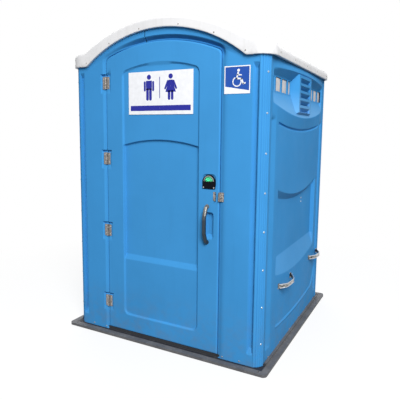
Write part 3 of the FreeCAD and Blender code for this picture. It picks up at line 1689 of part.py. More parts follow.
def paper_fitting():
    """Bracket with two cheeks on the left wall, the rod between them and the roll on it."""
    face = -inner_field_face()
    sheet, y, z = s.holder_sheet, s.paper_y, s.paper_z
    inside = s.paper_half + s.holder_gap
    axis_x = face + s.holder_out
    tall = s.holder_out / 2
    items = [block(face, face + sheet, y - inside - sheet, y + inside + sheet, z - tall, z + tall)]
    for start in (y - inside - sheet, y + inside):
        items.append(block(face, axis_x + s.paper_rod * 2, start, start + sheet, z - tall, z + tall))
    bore = cylinder((axis_x, y - inside - sheet, z), (0, 1, 0), s.paper_rod + s.running_gap,
                    (inside + sheet) * 2)
    keep(cut(fused(items), [bore]), "paper_holder")
    keep(cylinder((axis_x, y - inside - sheet, z), (0, 1, 0), s.paper_rod, (inside + sheet) * 2), "paper_rod")
    # The roll hangs with the top of its core just over the rod
    roll_z = z - (s.paper_core - s.paper_rod - s.nest_gap)
    roll = cylinder((axis_x, y - s.paper_half, roll_z), (0, 1, 0), s.paper_radius, s.paper_half * 2)
    core = cylinder((axis_x, y - s.paper_half, roll_z), (0, 1, 0), s.paper_core, s.paper_half * 2)
    keep(cut(roll, [core]), "paper_roll")


def coat_hook():
    """Round plate on the right wall with a peg and a rounded end."""
    face = s.wall_half - s.wall_skin
    inward = (-1, 0, 0)
    plate = cylinder((face, s.hook_y, s.hook_z), inward, s.hook_plate, s.hook_peg / 2)
    peg = cylinder((face, s.hook_y, s.hook_z), inward, s.hook_peg, s.hook_out)
    start = face - s.hook_out
    taper = s.hook_ball - s.hook_peg
    knob = [
        cone((start, s.hook_y, s.hook_z), inward, s.hook_peg, s.hook_ball, taper),
        cylinder((start - taper, s.hook_y, s.hook_z), inward, s.hook_ball, s.hook_ball_long),
        cone((start - taper - s.hook_ball_long, s.hook_y, s.hook_z), inward, s.hook_ball, s.hook_peg, taper),
    ]
    keep(fused([plate, peg] + knob), "coat_hook")


# Whole cabin

def build():
    make_sheet()
    floor_base()
    right = right_wall()
    keep(mirrored(right, "left_wall"), "left_wall")
    for side, lift_y, place_name in ((-1, s.lift_front_y, "front"), (1, s.lift_rear_y, "rear")):
        strip = window_strip(f"right_window_{place_name}", side)
        keep(mirrored(strip, f"left_window_{place_name}"), f"left_window_{place_name}")
        lift = lifting_handle(f"right_handle_{place_name}", lift_y)
        keep(mirrored(lift, f"left_handle_{place_name}"), f"left_handle_{place_name}")
    front_panel("front_left_panel", -1)
    front_panel("front_right_panel", 1)
    rear_wall()
    roof()
    vent()
    rivets = [seat for x in (-1, 1) for y in (-1, 1) for seat in corner_rivet_seats(x, y)]
    stud_group("corner_rivets", rivets, s.rivet_head, s.rivet_rise, s.rivet_shank, s.rivet_length)
    jamb_seats = hinge_screw_seats(-1) + hasp_jamb_seats()
    stud_group("jamb_screws", jamb_seats, s.screw_head, s.screw_rise, s.screw_shank, s.screw_length)
    door_seats = hinge_screw_seats(1) + hasp_door_seats()
    stud_group("door_screws", door_seats, s.screw_head, s.screw_rise, s.screw_shank, s.screw_length)
    door()
    hinges()
    latch_bolt()
    indicator()
    latch_case()
    latch_knob()
    latch_keeper()
    sign_plates()
    hasp()
    pull_handle("door_handle", door_face(), -1, s.handle_stub, s.handle_out)
    pull_handle("inner_handle", door_face() + s.wall_skin, 1, s.inner_handle_stub, s.inner_handle_out)
    waste_tank()
    seat_and_lid()
    grab_bars()
    paper_fitting()
    coat_hook()
    doc.recompute()


def check():
    """Stop if any feature failed or any sub-part has no sound solid."""
    for item in doc.Objects:
        if "Invalid" in item.State or "Error" in item.State:
            raise RuntimeError(f"{item.Name} ({item.Label}) failed")
    for piece in pieces:
        if piece.Shape.isNull() or not piece.Shape.isValid() or not piece.Shape.Solids:
            raise RuntimeError(f"{piece.Label} has no sound solid")


def write():
    os.makedirs("parts", exist_ok=True)
    for piece in pieces:
        piece.Shape.exportStep(f"parts/{piece.Label}.step")
        box = piece.Shape.BoundBox
        spans = [box.XMin, box.XMax, box.YMin, box.YMax, box.ZMin, box.ZMax]
        print(f"{piece.Label}: {len(piece.Shape.Solids)} solids,", *[f"{side:.1f}" for side in spans])


build()
check()
write()
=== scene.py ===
import json
import math
import bmesh
import bpy
import numpy as np
from mathutils import Matrix, Vector


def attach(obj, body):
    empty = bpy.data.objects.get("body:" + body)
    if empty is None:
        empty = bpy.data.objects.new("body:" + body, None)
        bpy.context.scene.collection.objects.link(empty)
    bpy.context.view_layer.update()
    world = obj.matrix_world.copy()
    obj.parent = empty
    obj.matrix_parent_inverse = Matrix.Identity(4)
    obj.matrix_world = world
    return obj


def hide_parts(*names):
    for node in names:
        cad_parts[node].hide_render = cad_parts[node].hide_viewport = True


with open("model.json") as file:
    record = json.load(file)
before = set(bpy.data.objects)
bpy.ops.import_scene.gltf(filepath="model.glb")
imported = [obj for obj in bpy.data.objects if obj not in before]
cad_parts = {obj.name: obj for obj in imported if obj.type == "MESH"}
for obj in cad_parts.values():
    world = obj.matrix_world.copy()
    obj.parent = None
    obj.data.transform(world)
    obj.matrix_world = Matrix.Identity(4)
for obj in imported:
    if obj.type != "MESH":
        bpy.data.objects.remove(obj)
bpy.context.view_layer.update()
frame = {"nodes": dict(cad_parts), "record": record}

# Looks of a portable toilet cabin. Metres, +Z up, the door faces -Y.

NODES = frame["nodes"]

WALL = 0.745            # outer faces of the four walls, from the middle
BEND = 0.090            # radius of the upright corners
BEND_MIDDLE = 0.66148   # centre of their arc, from both middle planes
FLAT = 0.695            # where the arc leaves the flat faces
PANEL_EDGE = 0.6907     # outer edges of the front and rear sheets
SKIN = 0.005            # thickness of the moulded sheets
FOOT = 0.018            # top of the flange, where the walls stand
SHOULDER = 2.0          # top of the side sheets
SEAM = -0.121           # between the two front panels
DOOR_FACE = -0.741
DOOR_MIDDLE = -0.008
RELIEF_MIDDLE = -0.012
EDGE = 0.009            # rounding of the doorway's and the door's front edge
DOOR_GAP = 0.003
HINGE_HEIGHTS = (1.829, 1.299, 0.775, 0.238)
HINGE_AXIS = (-0.4565, -0.743)
OVER_HINGE, UNDER_HINGE = 0.062, 0.074   # ends of the pockets, from the middle of a hinge
BOLT_LEVELS = (1.1722, 1.1878)   # the bolt's way through the door's edge and the jamb's return
BOLT_DEPTHS = (-0.7280, -0.7200)


# Small tools for arrays

def eased(t):
    """Held between 0 and 1, then 3 t squared minus 2 t cubed."""
    t = np.clip(t, 0, 1)
    return t * t * (3 - 2 * t)


def ramp(t):
    """Held between 0 and 1."""
    return np.clip(t, 0, 1)


def mirrored(places):
    """The places and their negatives, in order."""
    return sorted([-p for p in places] + list(places))


def xyz(x, y, z):
    """Points from three arrays, which are first stretched to one shape."""
    return np.stack(np.broadcast_arrays(x, y, z), axis=-1)


def middles(grid):
    """Middle of each cell of a grid, halfway between two opposite corners."""
    return (grid[1:, 1:] + grid[:-1, :-1]) / 2


def round_turn(count):
    """Angles at even steps once round, in radians."""
    return np.linspace(0, 2 * math.pi, count, endpoint=False)


def border(grid):
    """The outermost points of a grid, once round."""
    return np.concatenate([grid[0, :-1], grid[:-1, -1], grid[-1, :0:-1], grid[:0:-1, 0]])


def lines(marks, fine, coarse, reach, cuts=()):
    """Places from the first mark to the last: every mark and cut is one, steps are fine within reach of a mark."""
    knots = np.unique(np.round(np.concatenate([marks, cuts]), 6))
    places = [knots[:1]]
    for low, high in zip(knots[:-1], knots[1:]):
        t = np.linspace(low, high, 200)
        near = np.min(np.abs(t[:, None] - np.asarray(marks)[None, :]), axis=1)
        rate = 1 / (fine + (coarse - fine) * eased((near - reach) / (reach * 2 + coarse)))
        count = np.concatenate([[0], np.cumsum((rate[1:] + rate[:-1]) / 2 * (t[1] - t[0]))])
        steps = max(1, int(math.ceil(count[-1])))
        places.append(np.interp(np.linspace(0, count[-1], steps + 1)[1:], count, t))
    return np.concatenate(places)


def sagged(u, half, end, sag):
    """Parabola: its height is end at u = half and beyond, and end + sag in the middle."""
    return end + sag * (1 - np.clip(np.abs(u) / half, 0, 1) ** 2)


def rows_between(u, levels, fine, coarse, reach):
    """Rows that follow a stack of levels over u: each row is a straight mix of the level below and above. A level
    is a height, an array of heights or the numbers of a sagged curve."""
    curves = [sagged(u, *level) if isinstance(level, tuple) else level * np.ones_like(u) for level in levels]
    rows = [curves[0]]
    for low, high in zip(curves[:-1], curves[1:]):
        gap = float(np.median(high - low))
        share = lines([0, gap], fine, coarse, reach)[1:] / gap
        rows += list(low[None, :] + share[:, None] * (high - low)[None, :])
    return np.array(rows)


def chord_radius(half, rise):
    """Radius of the circle over a chord: half squared plus rise squared, divided by twice the rise."""
    return (half * half + rise * rise) / (2 * rise)


def arc_over(x, top, radius, grow=0.0):
    """Height over x of a circle that reaches top, and that then grows about its centre."""
    return top - radius + np.sqrt(np.maximum((radius + grow) ** 2 - x * x, 0))


def soft_higher(a, b, blend):
    """The higher of two, with the crease between them rounded: half of their sum and softened difference."""
    return (a + b + np.sqrt((a - b) ** 2 + blend ** 2)) / 2


def rim_drop(edge, radius):
    """Drop near a rounded rim: a quarter circle of the distance in from the edge."""
    near = np.clip(radius - edge, 0, radius)
    return radius - np.sqrt(np.maximum(radius ** 2 - near ** 2, 0))


class Arch:
    """Upright sides, a shallow arc on top and a round shoulder tangent to both."""

    def __init__(self, centre, half, foot, spring, peak, shoulder, grow=0.0):
        self.centre, self.foot = centre, foot - grow
        self.radius = chord_radius(half, peak - spring) + grow
        self.middle = peak + grow - self.radius
        self.half, self.shoulder = half + grow, shoulder + grow
        gap = self.radius - self.shoulder
        self.bend_at = self.half - self.shoulder
        self.bend_z = self.middle + math.sqrt(gap * gap - self.bend_at ** 2)
        self.touch = self.bend_at * self.radius / gap

    def top(self, x):
        """Height of the outline over x: the arc's circle, or the shoulder's circle past where they touch."""
        u = np.minimum(np.abs(x - self.centre), self.half)
        arc = self.middle + np.sqrt(np.maximum(self.radius ** 2 - u ** 2, 0))
        bend = self.bend_z + np.sqrt(np.maximum(self.shoulder ** 2 - (u - self.bend_at) ** 2, 0))
        return np.where(u > self.touch, bend, arc)

    def inside(self, x, z, foot_bend=0.0):
        """Distance in from the outline, negative outside it."""
        u = np.abs(x - self.centre)
        side, low = self.half - u, z - self.foot
        crown = self.radius - np.hypot(u, z - self.middle)
        near = np.minimum(side, np.where(z > self.bend_z, crown, side))
        corner = (u > self.bend_at) & (z > self.bend_z)
        near = np.where(corner, self.shoulder - np.hypot(u - self.bend_at, z - self.bend_z), near)
        floor = (side < foot_bend) & (low < foot_bend)
        low = np.where(floor, foot_bend - np.hypot(foot_bend - side, foot_bend - low), low)
        return np.minimum(near, low)


def doorway(grow):
    """Outline of the door, grown outward."""
    return Arch(DOOR_MIDDLE, 0.447, 0.044, 1.990, 2.083, 0.045, grow)


def box_inside(x, z, x_low, x_high, z_low, z_high, bend):
    """Distance in from the edge of a rectangle with round corners, negative outside."""
    a = np.minimum(x - x_low, x_high - x)
    b = np.minimum(z - z_low, z_high - z)
    corner = (a < bend) & (b < bend)
    return np.where(corner, bend - np.hypot(bend - a, bend - b), np.minimum(a, b))


# Meshes

class Skin:
    """Patches of quads gathered into one mesh."""

    def __init__(self):
        self.points, self.faces, self.count = [], [], 0

    def patch(self, points, facing=None, keep=None, closed=False):
        """A grid of points by rows and columns; the faces are turned to look along facing or away from a point."""
        rows, cols = points.shape[:2]
        index = np.arange(rows * cols).reshape(rows, cols)
        if closed:
            index = np.hstack([index, index[:, :1]])
        quads = np.stack([index[:-1, :-1], index[:-1, 1:], index[1:, 1:], index[1:, :-1]], axis=-1)
        quads = quads[keep] if keep is not None else quads.reshape(-1, 4)
        flat = points.reshape(-1, 3)
        if facing is not None:
            across = np.cross(flat[quads[:, 2]] - flat[quads[:, 0]], flat[quads[:, 3]] - flat[quads[:, 1]])
            way = np.array(facing, float)
            if isinstance(facing, Vector):
                way = flat[quads].mean(axis=1) - way
            if float((across * way).sum()) < 0:
                quads = quads[:, ::-1]
        self.points.append(flat)
        self.faces.append(quads + self.count)
        self.count += len(flat)
        return self

    def fan(self, ring, facing, depth=0.0):
        """A ring closed by rings that shrink to its middle, whose points rise by depth times 1 minus radius squared."""
        middle = ring.mean(axis=0)
        shares = np.array([1, 0.75, 0.5, 0.25, 0.02])[:, None, None]
        grid = middle + (ring - middle)[None] * shares
        grid = grid + np.array(facing, float) * (depth * (1 - shares ** 2))
        return self.patch(grid, facing, closed=True)

    def piece(self, name, material, merge=2e-5, crease=38.0):
        """The patches as one object: doubled points merged, smooth but for edges sharper than crease degrees."""
        points, faces = np.concatenate(self.points), np.concatenate(self.faces)
        mesh = bpy.data.meshes.new(name)
        mesh.vertices.add(len(points))
        mesh.vertices.foreach_set("co", points.astype(np.float32).ravel())
        mesh.loops.add(len(faces) * 4)
        mesh.loops.foreach_set("vertex_index", faces.astype(np.int32).ravel())
        mesh.polygons.add(len(faces))
        mesh.polygons.foreach_set("loop_start", np.arange(0, len(faces) * 4, 4, dtype=np.int32))
        mesh.polygons.foreach_set("loop_total", np.full(len(faces), 4, dtype=np.int32))
        mesh.update(calc_edges=True)
        work = bmesh.new()
        work.from_mesh(mesh)
        bmesh.ops.remove_doubles(work, verts=work.verts, dist=merge)
        bmesh.ops.dissolve_degenerate(work, edges=work.edges, dist=merge / 4)
        bmesh.ops.delete(work, geom=[v for v in work.verts if not v.link_faces], context="VERTS")
        work.to_mesh(mesh)
        work.free()
        mesh.validate()
        mesh.shade_smooth()
        mesh.set_sharp_from_angle(angle=math.radians(crease))
        mesh.materials.append(material)
        return linked(bpy.data.objects.new(name, mesh))

    def build(self, name, slot, body, nodes=(), finish=None, thick=0.0, **looks):
        """A piece that rides on a body and stands for CAD nodes; its finish is the slot's own unless one is named."""
        piece = self.piece(name, FINISHES[finish or slot], **looks)
        if thick:
            wall = piece.modifiers.new("wall", "SOLIDIFY")
            wall.thickness, wall.offset = thick, -1
        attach(piece, body)
        if nodes:
            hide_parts(*nodes)


def linked(thing):
    """The object, after it was put in the scene."""
    bpy.context.scene.collection.objects.link(thing)
    return thing


# Materials

FINISHES = {}


class Nodes:
    """Short ways to add nodes to a tree. Any value is a constant or the socket of another node, and a colour is three
    numbers."""

    def __init__(self, tree):
        self.tree = tree

    def put(self, value, socket):
        """Link another node's socket, or set a constant; a colour gets an alpha of one."""
        if isinstance(value, bpy.types.NodeSocket):
            self.tree.links.new(value, socket)
        else:
            socket.default_value = (*value, 1) if socket.type == "RGBA" else value

    def node(self, kind, **inputs):
        made = self.tree.nodes.new(kind)
        for key, value in inputs.items():
            self.put(value, made.inputs[key.replace("_", " ")])
        return made

    def filled(self, made, places, values, out=0):
        """One output of a node, after values went to its inputs by place."""
        for place, value in zip(places, values):
            self.put(value, made.inputs[place])
        return made.outputs[out]

    def maths(self, way, *values):
        made = self.tree.nodes.new("ShaderNodeMath")
        made.operation = way
        return self.filled(made, (0, 1), values)

    def times(self, first, *others):
        """The product of all the values."""
        for other in others:
            first = self.maths("MULTIPLY", first, other)
        return first

    def mixed(self, share, first, second):
        return self.filled(self.tree.nodes.new("ShaderNodeMixShader"), (0, 1, 2), (share, first, second))

    def seen(self):
        """One for rays that show the background: from the camera, mirrored, or through something clear."""
        path = self.tree.nodes.new("ShaderNodeLightPath")
        share = path.outputs["Is Camera Ray"]
        for other in ("Is Glossy Ray", "Is Transmission Ray"):
            share = self.maths("MAXIMUM", share, path.outputs[other])
        return share


class Finish(Nodes):
    """A material of one shader, laid out in object coordinates and kept in FINISHES under its name. What a method
    calls a source is a socket, the letter of an axis or the numbers of a noise."""

    def __init__(self, name, **sockets):
        self.material = bpy.data.materials.new(name)
        self.material.use_nodes = True
        super().__init__(self.material.node_tree)
        self.shader = self.tree.nodes["Principled BSDF"]
        self.wire(**sockets)
        self.coords = self.tree.nodes.new("ShaderNodeTexCoord").outputs["Object"]
        FINISHES[name] = self.material

    def wire(self, **sockets):
        for key, value in sockets.items():
            self.put(value, self.shader.inputs[key.replace("_", " ")])

    def noise(self, scale, detail=3.0, rough=0.55, stretch=(1, 1, 1)):
        """Fractal noise over the coordinates, each times its stretch."""
        place = self.node("ShaderNodeMapping", Vector=self.coords, Scale=stretch).outputs["Vector"]
        return self.node("ShaderNodeTexNoise", Vector=place, Scale=scale, Detail=detail, Roughness=rough).outputs["Fac"]

    def axis(self, letter):
        return self.node("ShaderNodeSeparateXYZ", Vector=self.coords).outputs[letter]

    def fit(self, source, low=0.3, high=0.7, to_low=0.0, to_high=1.0):
        """A source brought from one range to another, evenly, and held at the ends."""
        if isinstance(source, tuple):
            source = self.noise(*source)
        elif isinstance(source, str):
            source = self.axis(source)
        made = self.node("ShaderNodeMapRange", Value=source, From_Min=low, From_Max=high, To_Min=to_low, To_Max=to_high)
        return made.outputs["Result"]

    def blend(self, share, first, second):
        made = self.tree.nodes.new("ShaderNodeMix")
        made.data_type = "RGBA"
        return self.filled(made, (0, 6, 7), (share, first, second), 2)

    def tones(self, source, colour, dark, light):
        """The colour times a factor that goes from dark to light along a source."""
        return self.blend(self.fit(source), shade(colour, dark), shade(colour, light))

    def paint(self, base, *layers):
        """The shader's colour: a base under layers, each given by its share and its colour."""
        for share, colour in layers:
            base = self.blend(share, base, colour)
        self.wire(Base_Color=base)

    def bump(self, grain, distance, strength, **after):
        """A normal tilted by the slope of a noise."""
        made = self.node("ShaderNodeBump", Height=self.noise(*grain), Distance=distance, Strength=strength, **after)
        return made.outputs["Normal"]

    def surface(self, source, smooth, rough, *bump, **after):
        """Roughness between two values along a source, and a bump."""
        self.wire(Roughness=self.fit(source, 0.3, 0.7, smooth, rough), Normal=self.bump(*bump, **after))


def shade(colour, factor):
    """Each channel times the factor."""
    return tuple(channel * factor for channel in colour)


def moulded(name, colour, *light_and_shade):
    """Moulded polyethylene: cloudy colour, faint upright streaks, orange-peel bump and dirt at the foot; layers of
    painted light and shade that are passed in go on top."""
    f = Finish(name, IOR=1.5, Specular_IOR_Level=0.012)
    streaks = f.fit((9, 4, 0.6, (3.2, 3.2, 0.16)), 0.56, 0.78, 0, 0.14)
    splash = f.times(f.fit("Z", 0.42, 0.02), f.fit((14, 5, 0.65), 0.40, 0.72), 0.35)
    scuffs = f.fit((38, 3, 0.7, (1, 1, 6)), 0.66, 0.74, 0, 0.12)
    f.paint(f.tones((2.3, 4), colour, 0.95, 1.05), (streaks, shade(colour, 0.72)), (splash, (0.16, 0.17, 0.18)),
            (scuffs, shade(colour, 1.25)), *(layer(f) for layer in light_and_shade))
    f.surface((6, 5), 0.45, 0.57, (7, 2), 0.004, 0.30, Normal=f.bump((420, 2), 0.0004, 0.25))


def painted_sill_light(f):
    """Painted light on the side walls: the up-facing sill and the slope at the field's foot are paler; lower edges are
    parabolas.
    """
    y, z = f.axis("Y"), f.axis("Z")

    def ledge(sag, edge, top, side, most):
        """Three ramps multiplied: over the parabola z = sag times y squared, under the top, and in from the sides."""
        over_edge = f.maths("SUBTRACT", z, f.times(y, y, sag))
        return f.times(f.fit(over_edge, *edge), f.fit(z, *top), f.fit(f.maths("ABSOLUTE", y), *side, 0.0, most))

    # Painted light: paler blue where the sill and the field's foot slope face up
    sill = ledge(0.188, (1.601, 1.607), (1.790, 1.655), (0.640, 0.625), 0.60)
    foot = ledge(0.22, (0.499, 0.504), (0.660, 0.652), (0.500, 0.492), 0.22)
    return f.maths("MAXIMUM", sill, foot), (0.19, 0.46, 0.80)


def painted_arch_shade(f):
    """Painted shade on the front panels: dark navy in the slanting groove over the door's arch, a ring round the arch's
    centre.
    """
    x, z = f.maths("SUBTRACT", f.axis("X"), DOOR_MIDDLE), f.maths("SUBTRACT", f.axis("Z"), 0.9623)
    radius = f.maths("SQRT", f.maths("ADD", f.times(x, x), f.times(z, z)))
    # Painted shade: dark navy where the arch's slanting groove faces down, fading toward its left end
    share = f.times(f.fit(radius, 1.130, 1.136), f.fit(radius, 1.157, 1.149), f.fit("X", -0.40, -0.05, 0.15, 0.62),
                    f.fit("Z", 1.95, 2.02), f.fit((20, 3), 0.2, 0.6, 0.85, 1.0))
    return share, (0.008, 0.035, 0.12)


def metal(name, colour, rough, stain_and_dark_reflection=(0.20, 0.15, 0.11), amount=0.25, clean=0.56, brushed=(1, 1, 1),
          streak=(1, 1, 1)):
    """Worn steel: fine brushing, blotches and stains, which take up more of it where clean is lower. On the lifting
    straps the near-black stains are painted dark reflections.
    """
    f = Finish(name, Metallic=0.85)
    blot = f.noise(60, 4, 0.6)
    full = clean + 0.34 * (clean - 0.2)
    f.paint(f.blend(f.fit(blot, 0.35, 0.70), shade(colour, 0.85), shade(colour, 1.1)),
            (f.fit((130, 4, 0.7, streak), clean, full, 0, amount), stain_and_dark_reflection))
    f.surface(blot, rough - 0.08, rough + 0.12, (900, 2, 0.6, brushed), 0.0002, 0.25)


def dark_plastic(name, colour, rough=0.5, wear=0.10, gloss=0.2):
    """Moulded dark plastic with a fine leather grain and pale rubbed spots."""
    f = Finish(name, IOR=1.48, Specular_IOR_Level=gloss)
    blot = f.noise(28, 4)
    rubbed = f.fit((70, 4, 0.7), 0.60, 0.78, 0, wear)
    f.paint(f.tones(blot, colour, 0.85, 1.15), (rubbed, (0.35, 0.35, 0.35)))
    f.surface(blot, rough - 0.06, rough + 0.08, (650, 2), 0.0003, 0.3)


def printed(name, colour):
    """Printed plate: even ink with a faint weathered mottle."""
    f = Finish(name, IOR=1.48, Specular_IOR_Level=0.25)
    mottle = f.fit((9, 5, 0.7), 0.58, 0.78, 0, 0.12)
    f.paint(f.tones((35, 4), colour, 0.94, 1.04), (mottle, (0.42, 0.42, 0.41)))
    f.wire(Roughness=f.fit((25, 3), 0.3, 0.7, 0.30, 0.43))


def roof_finish():
    """Milky polyethylene: warm grey clouds, rain streaks down the rim and dirt in the low parts."""
    f = Finish("roof_shell", IOR=1.48)
    clouds = f.noise(3.0, 5)
    streaks = f.fit((12, 4, 0.6, (2.4, 2.4, 0.25)), 0.52, 0.75, 0, 0.28)
    low = f.times(f.fit("Z", 2.02, 1.945), f.fit((30, 4), 0.35, 0.7, 0, 0.35))
    f.paint(f.blend(f.fit(clouds, 0.3, 0.72), (0.72, 0.72, 0.73), (0.81, 0.805, 0.81)),
            (streaks, (0.52, 0.51, 0.49)), (low, (0.36, 0.35, 0.33)))
    f.surface(clouds, 0.38, 0.55, (260, 3), 0.0005, 0.3)


def base_finish():
    """Grey moulded base: gritty, rubbed pale, with painted shade along the walls' foot and a painted shadow on the
    threshold.
    """
    f = Finish("base_grey", IOR=1.45)
    blot = f.noise(9, 6, 0.65)
    rubbed = f.fit((55, 5, 0.75), 0.55, 0.72, 0, 0.6)
    grit = f.fit((120, 3, 0.7), 0.60, 0.74, 0, 0.7)
    out = f.maths("MAXIMUM", f.maths("ABSOLUTE", f.axis("X")), f.maths("ABSOLUTE", f.axis("Y")))
    # Painted shade: near black where the flange meets the walls' foot
    painted_wall_foot_shade = f.times(f.fit(out, 0.763, 0.756), f.fit("Z", 0.026, 0.020), f.fit((30, 4), 0.25, 0.5, 0.75, 1.0))
    # Painted shadow: near black on the threshold's face under the door
    painted_threshold_shadow = f.times(f.fit("Z", 0.021, 0.025), f.fit("Y", -0.66, -0.69), 0.9)
    f.paint(f.blend(f.fit(blot, 0.32, 0.70), (0.080, 0.082, 0.090), (0.150, 0.150, 0.155)),
            (rubbed, (0.30, 0.28, 0.27)), (grit, (0.05, 0.045, 0.04)), (painted_wall_foot_shade, (0.012, 0.014, 0.022)),
            (painted_threshold_shadow, (0.010, 0.012, 0.016)))
    f.surface(blot, 0.62, 0.85, (500, 2), 0.0005, 0.4, Normal=f.bump((70, 5, 0.7), 0.0015, 0.5))


def pane_finish():
    """Frosted sheet with a faint grey cloud and a pebbled surface."""
    f = Finish("frosted_pane", IOR=1.45)
    f.paint(f.blend(f.fit((18, 4)), (0.52, 0.50, 0.49), (0.66, 0.64, 0.63)))
    f.surface((90, 4), 0.35, 0.55, (240, 2), 0.0006, 0.5)


def pull_finish():
    """Door pull: black coat rubbed through to steel in spots, and paler steel toward the top as a painted highlight."""
    f = Finish("door_pull", Metallic=0.6)
    # Painted highlight: pale steel on the pull's upper part, which faces up to the light; the edge spots are wear
    painted_top_highlight = f.times(f.fit("Z", 0.93, 1.03), f.fit((90, 4, 0.7), 0.3, 0.55))
    edge = f.times(f.fit((160, 4, 0.75), 0.58, 0.70, 0, 0.5), 0.35)
    f.paint((0.030, 0.045, 0.060), (f.maths("MAXIMUM", painted_top_highlight, edge), (0.28, 0.265, 0.235)))
    f.surface((40, 3), 0.32, 0.5, (500, 3), 0.0003, 0.4)


def dial_finish():
    """Two-colour dial: green above the spindle, red below, with a moulded bloom."""
    f = Finish("indicator_green", IOR=1.48)
    cloud = f.noise(80, 3)
    green = f.blend(f.fit(cloud), (0.016, 0.56, 0.24), (0.022, 0.64, 0.28))
    red = f.blend(f.fit(cloud), (0.55, 0.02, 0.02), (0.66, 0.03, 0.03))
    f.paint(red, (f.fit("Z", 1.1795, 1.1805), green))
    f.wire(Roughness=f.fit(cloud, 0.3, 0.7, 0.3, 0.4))


def lens_finish():
    """Clear moulded lens with light scratches."""
    f = Finish("indicator_clear", Transmission_Weight=0.97, IOR=1.06)
    f.paint((0.96, 1.0, 0.97), (f.noise(60, 3), (0.88, 0.95, 0.90)))
    f.wire(Roughness=f.fit((300, 4, 0.7, (1, 1, 5)), 0.6, 0.75, 0.01, 0.05))


def paper_finish():
    """Soft paper with fibre and a faint quilting."""
    f = Finish("paper", Sheen_Weight=0.2, Roughness=0.9)
    f.paint(f.blend(f.fit((400, 4)), (0.72, 0.71, 0.68), (0.86, 0.85, 0.82)))
    f.wire(Normal=f.bump((500, 3), 0.0004, 0.6))


# Side walls carry painted light on their up-facing sill and foot slope
moulded("blue_side", (0.052, 0.285, 0.625), painted_sill_light)
# Front panels carry painted shade in the groove over the door's arch
moulded("blue_front", (0.052, 0.285, 0.625), painted_arch_shade)
moulded("blue_door", (0.054, 0.288, 0.625))
metal("hinge_steel", (0.32, 0.30, 0.28), 0.42, (0.06, 0.05, 0.045), 0.8, 0.51)
metal("screw_steel", (0.36, 0.33, 0.31), 0.40, amount=0.4)
metal("rivet_aluminium", (0.40, 0.48, 0.54), 0.34, (0.10, 0.20, 0.30), 0.6)
metal("bright_steel", (0.54, 0.57, 0.60), 0.30, amount=0.15)
# Lifting straps: the near-black stains over most of the steel are painted dark reflections
metal("lift_steel", (0.46, 0.45, 0.43), 0.24, (0.03, 0.028, 0.024), 0.95, 0.46, streak=(1, 0.3, 1))
metal("latch_steel", (0.46, 0.43, 0.40), 0.36, (0.05, 0.045, 0.04), 0.9, 0.47)
metal("pin_steel", (0.58, 0.58, 0.58), 0.30, amount=0.1)
metal("bar_steel", (0.66, 0.66, 0.65), 0.30, amount=0.05, brushed=(1, 0.05, 1))
dark_plastic("vent_grey", (0.32, 0.33, 0.34))
dark_plastic("indicator_black", (0.005, 0.006, 0.009), 0.45, 0.01, 0.05)
dark_plastic("latch_black", (0.02, 0.02, 0.02))
dark_plastic("seat_black", (0.02, 0.02, 0.022), 0.4)
dark_plastic("tank_grey", (0.12, 0.13, 0.14))
dark_plastic("holder_white", (0.62, 0.63, 0.64), 0.4, 0.02)
printed("sign_white", (0.86, 0.87, 0.90))
printed("sign_blue", (0.019, 0.080, 0.376))
printed("sign_ink", (0.022, 0.026, 0.30))
for make in (roof_finish, base_finish, pane_finish, pull_finish, dial_finish, lens_finish, paper_finish):
    make()

for part in frame["record"]["subparts"]:
    node = NODES[part["node"]]
    node.data.materials.clear()
    node.data.materials.append(FINISHES[part["material_slot"]])


# Side walls and rear wall. Curves are given as half width, height of the ends, rise of the middle.

FIELD_FOOT, FIELD_FOOT_END = (0.5, 0.555, -0.055), 0.657
FIELD_TOP, FIELD_TOP_END = (0.5, 1.130, -0.073), (0.5, 1.078, -0.058)
BEAD = (0.5, 0.190, -0.028)
SMILE = (0.52, 1.555, -0.043)
RECESS_FOOT, RECESS_TOP = (0.64, 1.677, -0.077), (0.64, 1.885, 0.020)
SILL_TOP, CEILING = 1.742, 1.847
PANES = ((0.225, 0.270), (0.300, 0.405), (0.430, 0.530), (0.560, 0.630))
PANE_LOW, PANE_HIGH = 1.754, 1.841
GROOVE_FOOT, GROOVE_TOP = 0.095, 1.588
FLUTES = (0.14, 0.34, 0.56, 0.80)   # shares of the corner's arc
LOUVRE_HALF = 0.130
LOUVRE_PITCH, LOUVRE_FIRST, LOUVRE_OPEN_TOP = 0.051, 1.655, 1.845


def field_relief(u, z, deep=0.022):
    """Depth of the lower field: sloping ceiling, sloping foot and short ends, the least of three ramps."""
    ceiling, foot = sagged(u, *FIELD_TOP), sagged(u, *FIELD_FOOT)
    down = ramp((ceiling - z) / (ceiling - sagged(u, *FIELD_TOP_END)))
    up = ramp((z - foot) / (FIELD_FOOT_END - foot))
    return deep * np.minimum(down, up) * eased((0.5 - np.abs(u)) / 0.014)


def bead_line(u):
    """Height of the bead at the foot: it sags, and at the rear end it bends up toward the corner groove."""
    return sagged(u, *BEAD) + 0.13 * np.clip((u - 0.44) / 0.12, 0, 1) ** 2


def shallow_marks(u, z):
    """Smile-shaped groove, a bead at the foot and a low crown, a cosine squared, between groove and field."""
    away = np.abs(z - sagged(u, *SMILE))
    groove = 0.010 * (1 - eased((away - 0.003) / 0.007)) * eased((0.525 - np.abs(u)) / 0.012)
    off = np.abs(z - bead_line(u)) * np.where(u > 0.5, 0.5, 1)
    bead = -0.007 * (1 - eased((off - 0.002) / 0.012)) * eased((u + 0.48) / 0.03) * eased((0.575 - u) / 0.02)
    dome = np.cos(np.clip(u / WALL, -1, 1) * math.pi / 2) ** 2
    return groove + bead - 0.003 * dome * eased((z - 1.12) / 0.15) * eased((1.50 - z) / 0.15)


